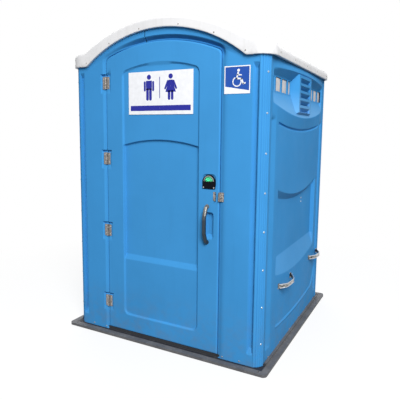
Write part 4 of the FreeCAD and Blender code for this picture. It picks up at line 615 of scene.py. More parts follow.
def upright_groove(u, z):
    """Groove beside each corner: a round shoulder, a steep near flank and a gentle far one, with sloping ends."""
    away = np.abs(u)
    shoulder = 0.0045 * np.minimum(eased((0.700 - away) / 0.050), eased((away - 0.545) / 0.10))
    profile = 0.014 * np.minimum(ramp((0.653 - away) / 0.006), ramp((away - 0.575) / 0.070))
    ends = np.minimum((GROOVE_TOP - z) * 0.60, (z - GROOVE_FOOT) * 0.35)
    return shoulder + np.clip(np.minimum(profile, ends), 0, None)


def window_relief(u, z):
    """Depth of the window recess: a sloping sill, a sloping ceiling and short ends. The wall stands out over the
    ceiling and a little under the sill, most in the middle, as one minus the square of the distance from it."""
    half = RECESS_FOOT[0]
    low, high = sagged(u, *RECESS_FOOT), sagged(u, *RECESS_TOP)
    inside = np.minimum(ramp((z - low) / (SILL_TOP - low)), ramp((high - z) / (high - CEILING)))
    ends = eased((half - np.abs(u)) / 0.016)
    middle = np.clip(1 - (u / half) ** 2, 0, None)
    over = 0.022 * middle * (1 - eased((z - high) / 0.075))
    under = 0.016 * middle * (1 - ramp((low - z) / (low - sagged(u, *SMILE) - 0.010)))
    proud = np.where(z > 1.80, over, under)
    return (0.025 * ends + proud) * inside - proud


def corner_path(s):
    """Plan of a side wall by arc length: straight, an arc at each end that leaves it at a slight angle, then a tail."""
    start = math.atan2(FLAT - BEND_MIDDLE, WALL - BEND_MIDDLE)
    reach = BEND * (math.pi / 2 - 2 * start)
    past = np.abs(s) - FLAT
    turn = start + np.clip(past, 0, reach) / BEND
    tail = np.maximum(past - reach, 0)
    bent = past > 0
    along = np.where(bent, BEND_MIDDLE + BEND * np.sin(turn), np.abs(s)) * np.sign(s)
    out = np.where(bent, BEND_MIDDLE + BEND * np.cos(turn), WALL) - tail
    nx = np.where(tail > 0, 0, np.where(bent, np.cos(turn), 1))
    ny = np.where(tail > 0, 1, np.where(bent, np.sin(turn), 0)) * np.sign(s)
    return out, along, nx, ny, reach


def field_levels(u):
    """Levels from the bead up to the smile-shaped groove."""
    bead = bead_line(u)
    return [bead - 0.007, bead + 0.007, FIELD_FOOT, FIELD_FOOT_END, FIELD_TOP_END, FIELD_TOP, SMILE]


def side_wall(word, hand):
    """Sheet along the plan path, pushed in along its normal by the relief; window and louvre openings left out."""
    reach = corner_path(np.zeros(1))[-1]
    marks = mirrored([0.486, 0.5, 0.52, 0.575, 0.624, 0.64, 0.653, FLAT, FLAT + reach])
    arc = [FLAT + reach * t for t in np.linspace(0, 1, 45)]
    edges = [edge for span in PANES for edge in span] + [LOUVRE_HALF]
    s = lines(marks, 0.004, 0.034, 0.008, mirrored(arc + edges + [FLAT + reach + 0.004]) + [0])
    out, along, nx, ny, reach = corner_path(s)
    levels = [FOOT, GROOVE_FOOT, *field_levels(s), RECESS_FOOT, SILL_TOP, PANE_LOW, PANE_HIGH, CEILING, RECESS_TOP,
              SHOULDER]
    z = rows_between(s, levels, 0.004, 0.034, 0.009)
    depth = field_relief(s, z, 0.030 if hand > 0 else 0.022) + shallow_marks(s, z) + window_relief(s, z)
    depth = depth + np.maximum(upright_groove(s, z) - np.maximum(depth, 0), 0)
    share = (np.abs(s) - FLAT) / reach
    for place in FLUTES:
        depth = depth + 0.0030 * eased(1 - np.abs(share - place) / 0.055)
    mid_s = np.abs((s[1:] + s[:-1]) / 2)[None]
    mid_z = middles(z)
    hole = (mid_s < LOUVRE_HALF) & (mid_z > LOUVRE_FIRST) & (mid_z < LOUVRE_OPEN_TOP)
    for low, high in PANES:
        hole |= (mid_s > low) & (mid_s < high) & (mid_z > PANE_LOW) & (mid_z < PANE_HIGH)
    wall = Skin().patch(xyz((out - nx * depth) * hand, along - ny * depth, z), (hand, 0, 0), keep=~hole)
    wall.build(word + "_wall_sheet", "blue_side", "cabin", [word + "_wall"], thick=SKIN)


def louvre_box(word, hand):
    """Box over the middle of the recess: a hill with sloping flanks and a flat face. Each of its five slots is a
    pocket whose ceiling slopes down to the back, with a level floor, upright ends and an open slit along the floor."""
    half, base, low_face, face = 0.160, 0.208, WALL - 0.027, 0.769
    slot_deep, slit, steep, foot, top = 0.026, 0.006, 0.0012, 1.6035, 1.9045
    y = lines(mirrored([base, half, LOUVRE_HALF]), 0.004, 0.02, 0.006, mirrored([LOUVRE_HALF - steep]))
    slots = [(LOUVRE_FIRST + LOUVRE_PITCH * n - 0.016, LOUVRE_FIRST + LOUVRE_PITCH * n + 0.017) for n in range(5)]
    edges = [edge for slot in slots for edge in slot]
    cuts = [low + more for low, high in slots for more in (steep, slit)]
    z = lines([1.604, 1.636, 1.892, 1.904] + edges, 0.003, 0.012, 0.003, cuts)
    yy, zz = np.meshgrid(y, z)
    rise = np.minimum(ramp((base - np.abs(yy)) / (base - half)), ramp((zz - foot) / 0.034))
    rise = np.minimum(rise, ramp((top - zz) / 0.010))
    depth = np.zeros_like(rise)
    mid_y, mid_z = middles(yy), middles(zz)
    open_slit = np.zeros(mid_y.shape, bool)
    for low, high in slots:
        pocket = np.minimum(ramp((high - zz) / (high - low - slit)), ramp((zz - low) / steep))
        depth = depth + slot_deep * np.minimum(pocket, ramp((LOUVRE_HALF - np.abs(yy)) / steep))
        open_slit |= (np.abs(mid_y) < LOUVRE_HALF - 0.002) & (mid_z > low + steep) & (mid_z < low + slit)
    box = Skin().patch(xyz((low_face + (face - low_face) * rise - depth) * hand, yy, zz), (hand, 0, 0), keep=~open_slit)
    box.build(word + "_louvre_box", "blue_side", "cabin", [word + "_wall"], thick=0.002, crease=30)


def pane_strip(name, hand, end):
    """Frosted lights: each is a pillow behind its opening, whose rise is the root of two half sines' product."""
    strip = Skin()
    lap, last_lap = 0.003, 0.028
    for low, high in PANES:
        y = np.linspace(low - lap, high + (last_lap if high > 0.6 else lap), 16) * end
        yy, zz = np.meshgrid(y, np.linspace(PANE_LOW - lap, PANE_HIGH + lap, 14))
        rise = np.sin(np.linspace(0, math.pi, 14))[:, None] ** 0.5 * np.sin(np.linspace(0, math.pi, 16))[None] ** 0.5
        strip.patch(xyz((0.7135 + 0.0045 * rise) * hand, yy, zz), (hand, 0, 0))
    strip.build(name + "_lights", "frosted_pane", "cabin", [name], thick=0.003)


# Front panels and rear wall

ARCH_TOP, ARCH_RADIUS = 2.163, chord_radius(0.610, 0.216)   # lower edge of the roof's rim over the door
JAMB_FOOT, JAMB_TOP = 0.095, 1.907                          # ends of the jambs' upright grooves
RETURN = 0.037                                              # depth of the doorway's return


def head_top(x):
    """Top of the front and rear sheets: level shoulders, and the circle of the roof's arch over them."""
    return np.maximum(arc_over(x, ARCH_TOP, ARCH_RADIUS, 0.038), SHOULDER)


def doorway_flare(x, z):
    """Sloping band round the doorway, falling toward it: narrow on the hinge side, wide overhead and at the latch."""
    share = eased((x + 0.38) / 0.20)
    deep = 0.006 + (0.0030 + 0.0150 * eased((z - 1.93) / 0.06)) * share
    return deep * ramp(1 + doorway(DOOR_GAP + EDGE).inside(x, z) / (0.012 + 0.012 * share))


def front_relief(x, z):
    """Depth of the jamb grooves and hinge pockets: a groove has a steep inner flank, a slot along its outer side,
    a sloping ceiling and a sloping foot."""
    away = np.abs(x)
    ends = np.minimum((JAMB_TOP - z) * 0.55, (z - JAMB_FOOT) * 0.42)
    groove = np.clip(np.minimum(0.018 * ramp((away - 0.649) / 0.011), ends), 0, None)
    slot = 0.007 * ramp((away - 0.6795) / 0.003) * ramp((z - 0.10) / 0.01) * ramp((1.90 - z) / 0.02)
    lip = ramp((0.6895 - away) / 0.0050)
    return (groove + slot) * lip + np.maximum(hinge_pocket(x, z, 0.0085), doorway_flare(x, z))


def hinge_pocket(x, z, depth):
    """Pocket beside the hinge line: steep top and side, long sloping foot, the least of three ramps, and a deeper
    slot over the leaves."""
    total = np.zeros_like(z)
    side = eased((0.043 - np.abs(x - HINGE_AXIS[0])) / 0.007)
    for height in HINGE_HEIGHTS:
        ends = np.minimum(eased((height + OVER_HINGE - z) / 0.006), ramp((z - height + UNDER_HINGE) / 0.026))
        over = 0.010 * eased((z - height - 0.043) / 0.003)
        total = total + (depth + over) * np.minimum(ends, side)
    return total


def quarter(radius, back, stations):
    """Profile of a rounded edge as pairs of outward and backward travel: a quarter circle, then straight back."""
    turn = np.linspace(0, math.pi / 2, 5)
    out = np.append(radius * np.sin(turn), np.full(len(stations) + 1, radius))
    deep = np.concatenate([radius * (1 - np.cos(turn)), stations, [back]])
    return np.stack([out, deep], axis=-1)


def beside_bolt(band):
    """True for the quads of an edge band whose middle is outside the latch bolt's way."""
    x, y, z = np.moveaxis((band[:-1, :-1] + band[:-1, 1:] + band[1:, 1:] + band[1:, :-1]) / 4, -1, 0)
    level = (z > BOLT_LEVELS[0]) & (z < BOLT_LEVELS[1])
    return ~((x > 0.42) & (y > BOLT_DEPTHS[0]) & (y < BOLT_DEPTHS[1]) & level)


def mitre(loop, closed):
    """Outward in-plane normals of a polyline in X and Z, lengthened at corners so that offsets stay parallel."""
    ahead = np.roll(loop, -1, axis=0) - loop
    if not closed:
        ahead[-1] = ahead[-2]
    behind = np.roll(ahead, 1, axis=0)
    if not closed:
        behind[0] = ahead[0]

    def normal(step):
        """The step turned a quarter and divided by its length."""
        length = np.maximum(np.hypot(step[:, 0], step[:, 1]), 1e-9)
        return np.stack([step[:, 1], -step[:, 0]], axis=-1) / length[:, None]

    first, second = normal(behind), normal(ahead)
    return (first + second) / (1 + (first * second).sum(axis=1) + 1e-9)[:, None]


def swept(loop, profile, front, relief, back, way, closed=False):
    """The profile carried round a loop in X and Z: offsets along the mitred normal, depth behind the front. The
    relief's depth at the loop fades out evenly until back."""
    offset = profile[:, 0][:, None, None] * way
    side = loop[None] + mitre(loop, closed)[None] * offset
    deep = profile[:, 1][:, None]
    y = front + deep + relief[None] * np.maximum(1 - deep / back, 0)
    return xyz(side[..., 0], y, side[..., 1])


def front_panel(word, side):
    """Half of the front: jamb and header share their columns, and the rows over the door follow its arch."""
    hole = doorway(DOOR_GAP + EDGE)
    door_edge = DOOR_MIDDLE + hole.half * side
    inner = SEAM + 0.0030 * side
    bends = door_edge - side * hole.shoulder * (1 - np.cos(np.linspace(0, math.pi / 2, 9)))
    marks = [inner, door_edge] + [m * side for m in (0.649, 0.660, 0.6795, 0.6825, 0.6845, 0.6895, PANEL_EDGE)]
    cuts = [inner + 0.004 * side, inner + 0.008 * side, door_edge + 0.012 * side, door_edge + 0.024 * side]
    z_marks = [FOOT, JAMB_FOOT, 0.138, *BOLT_LEVELS, 1.881, JAMB_TOP, hole.bend_z]
    if side < 0:
        marks.append(-0.4995)
        z_marks += [h + d for h in HINGE_HEIGHTS for d in (OVER_HINGE, 0.056, 0.0445, -0.048, -UNDER_HINGE)]
    x = lines(sorted(marks), 0.003, 0.03, 0.006, list(bends) + cuts)
    past = (x - door_edge) * side
    over = np.where(past >= -1e-6, hole.bend_z, hole.top(x))
    band_top = over + np.minimum(0.024, 0.6 * (head_top(x) - over))
    head = rows_between(x, [over, band_top, head_top(x)], 0.004, 0.03, 0.006)
    skin = Skin().patch(xyz(x, -WALL + front_relief(x, head), head), (0, -1, 0))
    jamb = x[past >= -1e-6]
    z = lines(sorted(z_marks), 0.004, 0.05, 0.006)
    low = z[:, None] * np.ones_like(jamb)
    skin.patch(xyz(jamb, -WALL + front_relief(jamb, low), low), (0, -1, 0))
    # Rounded doorway edge, deep return and door stop along the same points
    up = z[z <= hole.bend_z + 1e-9]
    arch_x = x[past < 1e-6][::-side]
    loop = np.concatenate([np.stack([np.full(len(up), door_edge), up], axis=-1)[:-1],
                           np.stack([arch_x, hole.top(arch_x)], axis=-1)])
    stop = [[EDGE + 0.015, RETURN], [EDGE + 0.015, 0.0415]]
    profile = np.concatenate([quarter(EDGE, RETURN, (0.0096, 0.0222)), stop])
    band = swept(loop, profile, -WALL, front_relief(loop[:, 0], loop[:, 1]), RETURN, -side)
    skin.patch(band, (-side, -0.6, 0), keep=beside_bolt(band))
    name = f"front_{word}_panel"
    skin.build(name + "_sheet", "blue_front", "cabin", [name], thick=SKIN)


def rear_wall():
    """Rear sheet with the same field and groove as the sides, its rows bent to the roof's arch at the top."""
    x = lines(mirrored([0.5, 0.514, 0.52, PANEL_EDGE]), 0.004, 0.035, 0.009, [0])
    z = rows_between(x, [FOOT, *field_levels(x), head_top(x)], 0.004, 0.035, 0.009)
    skin = Skin().patch(xyz(x, WALL - field_relief(x, z) - shallow_marks(x, z), z), (0, 1, 0))
    skin.build("rear_wall_sheet", "blue_side", "cabin", ["rear_wall"], thick=SKIN)


# Door

RELIEF = Arch(RELIEF_MIDDLE, 0.304, 0.160, 1.900, 1.950, 0.045)
DEEP = Arch(RELIEF_MIDDLE, 0.304, 0.577, 1.400, 1.441, 0.012)
FINGER = (0.343, 0.402, 0.807, 0.984)
LAMP = (0.3185, 0.4155, 1.130, 1.229)


def door_relief(x, z):
    """Depth of the door's face: framed field, deeper field under its own arch, hinge, finger and indicator pockets."""
    field = 0.011 * eased(RELIEF.inside(x, z, 0.045) / 0.011)
    deep_in = DEEP.inside(x, z, 0.006)
    foot = ramp((z - DEEP.foot) / 0.038)
    deep = 0.015 * np.minimum(eased(deep_in / 0.011), np.where(deep_in > 0, foot, 0))
    finger = box_inside(x, z, *FINGER, 0.020)
    slope = ramp((z - FINGER[2]) / 0.030)
    pocket = 0.022 * np.minimum(eased(finger / 0.009), np.where(finger > 0, slope, 0))
    lamp = 0.007 * eased(box_inside(x, z, *LAMP, 0.030) / 0.004)
    return field + deep + pocket + lamp + hinge_pocket(x, z, 0.0045)


def door():
    """Leaf: a grid whose rows follow the arches, and a rounded edge carried round it."""
    leaf = doorway(-EDGE)
    low_x, high_x = leaf.centre - leaf.half, leaf.centre + leaf.half
    bends = leaf.shoulder * (1 - np.cos(np.linspace(0, math.pi / 2, 9)))
    marks = [low_x, -0.4155, -0.316, -0.305, 0.281, 0.292, 0.3185, 0.345, 0.398, 0.413, high_x]
    x = lines(marks, 0.003, 0.03, 0.005, list(low_x + bends) + list(high_x - bends))
    z_marks = [0.048, 0.160, 0.172, 0.577, 0.615, *FINGER[2:], 0.840, *LAMP[2:], *BOLT_LEVELS]
    z_marks += [h + d for h in HINGE_HEIGHTS[1:] for d in (OVER_HINGE, 0.0445, -0.048, -UNDER_HINGE)]
    low = lines(sorted(z_marks), 0.0032, 0.034, 0.005)
    framed = np.abs(x - RELIEF_MIDDLE) < 0.31
    deep_top = np.where(framed, DEEP.top(x), DEEP.bend_z)
    relief_top = np.where(framed, RELIEF.top(x), RELIEF.bend_z)
    hinge_low, hinge_high = HINGE_HEIGHTS[0] - UNDER_HINGE, HINGE_HEIGHTS[0] + OVER_HINGE
    middle = [low[-1], deep_top - 0.012, deep_top, hinge_low]
    upper = [hinge_low, np.minimum(hinge_high, relief_top - 0.012), relief_top, leaf.top(x)]
    z = np.concatenate([low[:, None] * np.ones_like(x), rows_between(x, middle, 0.0032, 0.034, 0.005)[1:],
                        rows_between(x, upper, 0.0032, 0.030, 0.006)[1:]])
    face = xyz(x, DOOR_FACE + door_relief(x, z), z)
    skin = Skin().patch(face, (0, -1, 0))
    ring, back = border(face), 0.030
    profile = quarter(EDGE, back, (0.0122, 0.0218))
    band = swept(ring[:, [0, 2]], profile, DOOR_FACE, ring[:, 1] - DOOR_FACE, back, 1, closed=True)
    wrapped = np.concatenate([band, band[:, :1]], axis=1)
    skin.patch(band, Vector((DOOR_MIDDLE, -0.73, 1.0)), keep=beside_bolt(wrapped), closed=True)
    skin.build("door_sheet", "blue_door", "door", ["door"], thick=SKIN)


# Roof

def square_to_plan(x, y, half_x, half_y, bend):
    """Pull the corner squares of a rectangle onto quarter discs, so that its edge becomes a rounded rectangle."""
    p = np.clip((np.abs(x) - (half_x - bend)) / bend, 0, None)
    q = np.clip((np.abs(y) - (half_y - bend)) / bend, 0, None)
    both = (p > 0) & (q > 0)
    scale = np.where(both, np.maximum(p, q) / np.maximum(np.hypot(p, q), 1e-9), 1.0)
    new_x = np.where(both, np.sign(x) * (half_x - bend + p * bend * scale), x)
    new_y = np.where(both, np.sign(y) * (half_y - bend + q * bend * scale), y)
    return new_x, new_y


def roof():
    """Shell: an arch over level ears, raised along the front, with its sides rounded over into a deep rim."""
    half_x, half_y, bend = 0.775, 0.768, 0.110
    front_round, side_round, step = 0.014, 0.050, 0.013
    peak, ear, rim_low, lip = 2.225, 2.037, 1.947, 0.0035
    half_turn = 1 - np.cos(np.linspace(0, math.pi / 2, 8))
    rounds = [radius * turn for radius in (front_round, side_round) for turn in half_turn]
    cuts_x = list(np.linspace(0.56, 0.66, 9)) + [half_x - r for r in rounds]
    x = lines(mirrored([0.620, half_x]), 0.008, 0.045, 0.02, mirrored(cuts_x) + [0])
    y = lines([-half_y, -0.705, -0.625, half_y], 0.006, 0.05, 0.02, mirrored([half_y - r for r in rounds]) + [0])
    px, py = square_to_plan(*np.meshgrid(x, y), half_x, half_y, bend)
    raised = eased((-0.630 - py) / 0.072)
    arc = arc_over(np.minimum(np.abs(px), 0.75), peak, chord_radius(0.620, peak - ear))
    top = soft_higher(arc, ear, 0.012) - step * (1 - raised)
    over_side = eased((np.abs(px) - 0.655) / 0.09)
    radius = front_round + (side_round - front_round) * over_side * (1 - 0.5 * raised)
    edge = box_inside(px, py, -half_x, half_x, -half_y, half_y, bend)
    grid = xyz(px, py, top - rim_drop(edge, radius))
    skin = Skin().patch(grid, (0, 0, 1))
    ring = border(grid)
    rise = soft_higher(arc_over(ring[:, 0], ARCH_TOP, ARCH_RADIUS), rim_low, 0.006) - rim_low - 0.0015
    at_end = (np.abs(ring[:, 0]) < 0.66) & (np.abs(ring[:, 1]) > half_y - bend - 0.01)
    low = rim_low + rise * at_end
    inner = np.array([half_x - bend, half_y - bend])
    outward = ring[:, :2] - np.clip(ring[:, :2], -inner, inner)
    outward = outward / np.maximum(np.hypot(outward[:, 0], outward[:, 1]), 1e-9)[:, None]
    # Down the rim in nine rows, then a small lip turned in
    travel = np.append(np.linspace(0, 1, 9), np.ones(4))[:, None]
    tuck = np.append(np.zeros(9), [0.0012, 0.004, 0.012, 0.021])[:, None]
    sink = np.append(np.zeros(9), [0.0026, lip, lip, lip])[:, None]
    skirt = xyz(ring[:, 0] - outward[:, 0] * tuck, ring[:, 1] - outward[:, 1] * tuck,
                ring[:, 2] + (low + lip - ring[:, 2]) * travel - sink)
    skin.patch(skirt, Vector((0, 0, 2.0)), closed=True)
    skin.build("roof_sheet", "roof_shell", "cabin", ["roof"], thick=0.006)


# Handles

def tube(path, radius_u, radius_v, ring, square=1.0):
    """An oval carried along a path: the frame turns with the path, and square flattens the oval toward a box."""
    ahead = np.gradient(path, axis=0)
    ahead /= np.linalg.norm(ahead, axis=1)[:, None]
    across = np.cross(ahead, np.array([0.0, 0.0, 1.0]))
    weak = np.linalg.norm(across, axis=1) < 0.2
    across[weak] = np.cross(ahead[weak], np.array([1.0, 0.0, 0.0]))
    across /= np.linalg.norm(across, axis=1)[:, None]
    upright = np.cross(across, ahead)
    turn = round_turn(ring)
    c, s = (np.sign(t) * np.abs(t) ** square for t in (np.cos(turn), np.sin(turn)))
    return (path[:, None] + across[:, None] * c[None, :, None] * np.reshape(radius_u, (-1, 1, 1))
            + upright[:, None] * s[None, :, None] * np.reshape(radius_v, (-1, 1, 1)))


def smooth_path(corners, bends, steps=7):
    """A polyline whose inner corners are quadratic curves that start and end a bend's length from the corner."""
    corners = np.asarray(corners, float)
    points = [corners[:1]]
    t = np.linspace(0, 1, steps)[:, None]
    for before, corner, after, reach in zip(corners[:-2], corners[1:-1], corners[2:], bends):
        start = corner + (before - corner) / np.linalg.norm(before - corner) * reach
        end = corner + (after - corner) / np.linalg.norm(after - corner) * reach
        points.append((1 - t) ** 2 * start + 2 * t * (1 - t) * corner + t ** 2 * end)
    points.append(corners[-1:])
    return np.concatenate(points)


def add_disc(skin, centre, normal, radius, thick, dome, ring=24):
    """A round plate with a rounded rim: circles that step outward and narrow, closed by a domed fan."""
    normal = np.array(normal, float)
    side = np.cross(normal, [0.3, 0.5, 0.81])
    side /= np.linalg.norm(side)
    up = np.cross(normal, side)
    turn = round_turn(ring)[:, None]
    circle = np.cos(turn) * side + np.sin(turn) * up
    soft = min(thick * 0.45, radius * 0.3)
    radii = np.array([radius, radius, radius - soft * 0.3, radius - soft])[:, None, None]
    heights = np.array([0, thick - soft, thick - soft * 0.3, thick])[:, None, None]
    rows = np.array(centre, float) + circle[None] * radii + normal * heights
    skin.patch(rows, Vector(centre), closed=True).fan(rows[-1], normal, dome)


def capped_tube(path, radius_u, radius_v, hand, ring, square=1.0, skin=None):
    """A tube with both ends closed, mirrored in X for the left hand."""
    skin = skin or Skin()
    mirror = np.array([hand, 1, 1])
    rows = (tube(path, radius_u, radius_v, ring, square) * mirror)[:, ::hand]
    skin.patch(rows[:, ::-1], closed=True)
    for end, next_in in ((0, 1), (-1, -2)):
        skin.fan(rows[end], tuple((path[end] - path[next_in]) * mirror))
    return skin


def lifting_handle(name, hand, centre, span):
    """Strap with two sloping arms, a long grip, bright rolled rims and a foot plate at each end."""
    out, foot, foot_z, wide, tall = WALL + 0.0515, WALL + 0.003, 0.460, 0.017, 0.019
    front, rear = centre - span, centre + span
    corners = [(foot, front - 0.014, 0.462), (WALL + 0.010, front + 0.002, 0.459), (out - 0.003, front + 0.034, 0.464),
               (out, centre - 0.020, 0.456), (out - 0.003, rear - 0.065, 0.451), (WALL + 0.010, rear - 0.002, 0.459),
               (foot, rear + 0.014, 0.462)]
    path = smooth_path(corners, [0.006, 0.016, 0.05, 0.022, 0.010])
    width = 0.0135 - 0.002 * np.cos(np.linspace(-1.6, 1.6, len(path)))
    strap = capped_tube(path, 0.0026, width, hand, 20, 0.45)
    yy, zz = np.meshgrid(np.linspace(-wide, wide, 9), np.linspace(-tall, tall, 9))
    edge = box_inside(yy, zz, -wide, wide, -tall, tall, 0.006)
    for y in (front, rear):
        strap.patch(xyz((WALL + 0.0028 * eased(edge / 0.003 + 0.25)) * hand, yy + y, zz + foot_z), (hand, 0, 0))
    strap.build(name + "_strap", "lift_steel", "cabin", [name])
    rims = Skin()
    for way in (-1, 1):
        rim = path[2:-2] + xyz(0, 0, way * width[2:-2])
        capped_tube(rim, 0.0034, 0.0034, hand, 12, skin=rims)
    rims.build(name + "_rims", "lift_steel", "cabin", finish="bright_steel")


def pull_handle(name, face, outward, out, stub):
    """Bar with raked ends on two round foot plates; the bar thickens toward its middle."""
    x, high, low, rake = 0.356, 1.020, 0.787, 0.062
    profile = [(0.002, high), (stub, high - 0.002), (out, high - rake), (out, low + rake), (stub, low + 0.002),
               (0.002, low)]
    path = smooth_path([(x, face + far * outward, z) for far, z in profile], [0.008, 0.007, 0.007, 0.008])
    wide = 0.0118 + 0.0010 * np.cos(np.linspace(-1, 1, len(path)) * math.pi / 2)
    skin = Skin().patch(tube(path, wide, wide * 0.9, 20, 0.85)[:, ::-1], closed=True)
    for z in (high, low):
        add_disc(skin, (x, face, z), (0, outward, 0), 0.015, 0.0045, 0.0008)
    skin.build(name + "_bar", "door_pull", "door", [name])


# Small steel parts

def plate(skin, middle, half, face, thick, bend):
    """Flat plate in X and Z with round corners and a softened rim, whose height drops by a quarter circle."""
    soft = 0.0007
    x, z = (lines([-h, h], 0.0012, coarse, 0.002) for h, coarse in zip(half, (0.006, 0.010)))
    px, pz = square_to_plan(*np.meshgrid(x, z), *half, bend)
    edge = box_inside(px, pz, -half[0], half[0], -half[1], half[1], bend)
    top = xyz(px + middle[0], face - thick + rim_drop(edge, soft), pz + middle[1])
    skin.patch(top, (0, -1, 0))
    ring = border(top)
    foot = xyz(ring[:, 0], face, ring[:, 2])
    skin.patch(np.stack([ring, foot]), Vector((middle[0], face, middle[1])), closed=True)


def barrel(skin, radius, low, high):
    """Upright knuckle on the hinges' axis, with a softened rim at both ends, closed by fans."""
    turn = round_turn(20)
    radii = np.array([radius * 0.8, radius, radius, radius * 0.8])[:, None]
    heights = np.array([low, low + radius * 0.15, high - radius * 0.15, high])[:, None]
    rows = xyz(HINGE_AXIS[0] + radii * np.cos(turn), HINGE_AXIS[1] + radii * np.sin(turn), heights)
    skin.patch(rows, Vector((*HINGE_AXIS, (low + high) / 2)), closed=True)
    skin.fan(rows[0], (0, 0, -1)).fan(rows[-1], (0, 0, 1))


def hinge(number, z):
    """Two softened leaves and their knuckles."""
    tall, near, far, slack = 0.085, 0.0035, 0.030, 0.0003
    for part, side, knuckles, body in (("jamb_leaf", -1, (0, 2), "cabin"), ("door_leaf", 1, (1,), "door")):
        skin = Skin()
        middle = HINGE_AXIS[0] + (near + far) / 2 * side
        plate(skin, (middle, z), ((far - near) / 2, tall / 2), HINGE_AXIS[1] + 0.0065, 0.003, 0.003)
        for knuckle in knuckles:
            start = z - tall / 2 + tall / 3 * knuckle
            barrel(skin, 0.0065, start + slack, start + tall / 3 - slack)
        node = f"hinge_{number}_{part}"
        skin.build(node + "_steel", "hinge_steel", body, [node])


# Indicator and signs

def indicator_trim():
    """Grey arch over the window, a circle carried through a half turn round the window's centre, and two screws."""
    x, y, z, radius, half_wide, proud = 0.367, -0.7458, 1.1835, 0.0335, 0.0026, 0.0016
    turn, ring = np.linspace(0, math.pi, 41)[:, None], round_turn(12)
    u = radius + half_wide * np.cos(ring)
    grid = xyz(x + u * np.cos(turn), y - proud * np.sin(ring), z + u * np.sin(turn))
    skin = Skin().patch(grid, closed=True).fan(grid[0], (0, 0, -1)).fan(grid[-1], (0, 0, -1))
    skin.build("indicator_ring", "vent_grey", "door")
    dots = Skin()
    for x in (0.330, 0.404):
        add_disc(dots, (x, -0.7459, 1.1440), (0, -1, 0), 0.0042, 0.0012, 0.0006, 16)
    dots.build("indicator_screws", "rivet_aluminium", "door", finish="bright_steel")


def wall_screws():
    """Two small screw heads on the right wall's field, one over the other."""
    heads = Skin()
    for z in (0.990, 0.961):
        add_disc(heads, (WALL - 0.0305, 0.180, z), (1, 0, 0), 0.0075, 0.003, 0.001, 16)
    heads.build("right_wall_screws", "rivet_aluminium", "cabin")


INK_LIFT = 0.0003       # prints lie a hair over their plate


def print_on(name, outlines, face, body, slot, finish=None):
    """Printed shapes: each closed outline in X and Z is shrunk to its middle as rings."""
    skin = Skin()
    for outline in outlines:
        outline = np.asarray(outline, float)
        middle = (outline.min(axis=0) + outline.max(axis=0)) / 2
        flat = middle + (outline - middle)[None] * np.array([1, 0.5, 0.02])[:, None, None]
        skin.patch(xyz(flat[..., 0], face - INK_LIFT, flat[..., 1]), (0, -1, 0), closed=True)
    skin.build(name, slot, body, finish=finish, merge=1e-6)


def arc_points(centre, radius, start, end, steps):
    """Centre plus the radius times cosine and sine of even angles."""
    turn = np.linspace(start, end, steps)
    return np.stack([centre[0] + radius * np.cos(turn), centre[1] + radius * np.sin(turn)], axis=-1)


def circle(x, z, radius):
    """An arc of one full turn, without its doubled last point."""
    return arc_points((x, z), radius, 0, 2 * math.pi, 29)[:-1]


def bar_between(a, b, half):
    """Round-ended bar between two points: two half circles joined."""
    angle, right = math.atan2(b[1] - a[1], b[0] - a[0]), math.pi / 2
    return np.concatenate([arc_points(a, half, angle + right, angle + 3 * right, 8),
                           arc_points(b, half, angle - right, angle + right, 8)])


def rectangle(x_low, x_high, z_low, z_high):
    """Four corners in order."""
    return [(x_low, z_low), (x_high, z_low), (x_high, z_high), (x_low, z_high)]


def limbs(x, z, start, end, half):
    """Two bars mirrored over x, from one offset to another."""
    return [bar_between((x + way * start[0], z + start[1]), (x + way * end[0], z + end[1]), half) for way in (-1, 1)]


def signs():
    """Plain signs with simple figures of common kind: a man, a woman, a rule under them, and a wheelchair."""
    z, man, woman = 1.782, -0.095, 0.075
    skirt = [(woman + dx, z + dz) for dx, dz in ((-0.015, 0.048), (-0.040, -0.030), (0.040, -0.030), (0.015, 0.048))]
    figures = [circle(man, z + 0.071, 0.0165), rectangle(man - 0.024, man + 0.024, z - 0.012, z + 0.048),
               *limbs(man, z, (0.012, -0.012), (0.012, -0.072), 0.0105),
               *limbs(man, z, (0.034, 0.038), (0.034, -0.014), 0.0075),
               circle(woman, z + 0.071, 0.0165), skirt,
               *limbs(woman, z, (0.012, -0.028), (0.012, -0.072), 0.0095),
               *limbs(woman, z, (0.022, 0.040), (0.042, -0.006), 0.0068),
               rectangle(-0.246, 0.226, 1.632, 1.667), bar_between((-0.010, 1.715), (-0.010, 1.850), 0.0025)]
    print_on("door_sign_print", figures, -0.734, "door", "sign_blue", "sign_ink")
    face = -0.747
    frame_and_foot = [rectangle(0.466, 0.634, 1.725, 1.731), rectangle(0.466, 0.634, 1.883, 1.889),
                      rectangle(0.466, 0.472, 1.731, 1.883), rectangle(0.628, 0.634, 1.731, 1.883),
                      [(0.472, 1.731), (0.628, 1.731), (0.628, 1.742), (0.472, 1.768)]]
    neck, hip, knee, heel, toe = (0.556, 1.848), (0.547, 1.815), (0.578, 1.812), (0.590, 1.783), (0.602, 1.786)
    body = [bar_between(a, b, 0.0048) for a, b in ((neck, hip), (hip, knee), (knee, heel))]
    body += [bar_between(heel, toe, 0.0040), bar_between((0.552, 1.836), (0.576, 1.834), 0.0036)]
    print_on("access_sign_print", frame_and_foot + [circle(0.558, 1.862, 0.0085)] + body, face, "cabin", "sign_white")
    # The wheel is part of a flat ring, with radius and angle as its two parameters
    turn = np.linspace(math.radians(115), math.radians(385), 40)
    radii = np.array([0.0265 - 0.0032, 0.0265 + 0.0032])[:, None]
    wheel = xyz(0.549 + radii * np.cos(turn), face - INK_LIFT, 1.795 + radii * np.sin(turn))
    Skin().patch(wheel, (0, -1, 0)).build("access_sign_wheel", "sign_white", "cabin", merge=1e-6)


# Build everything

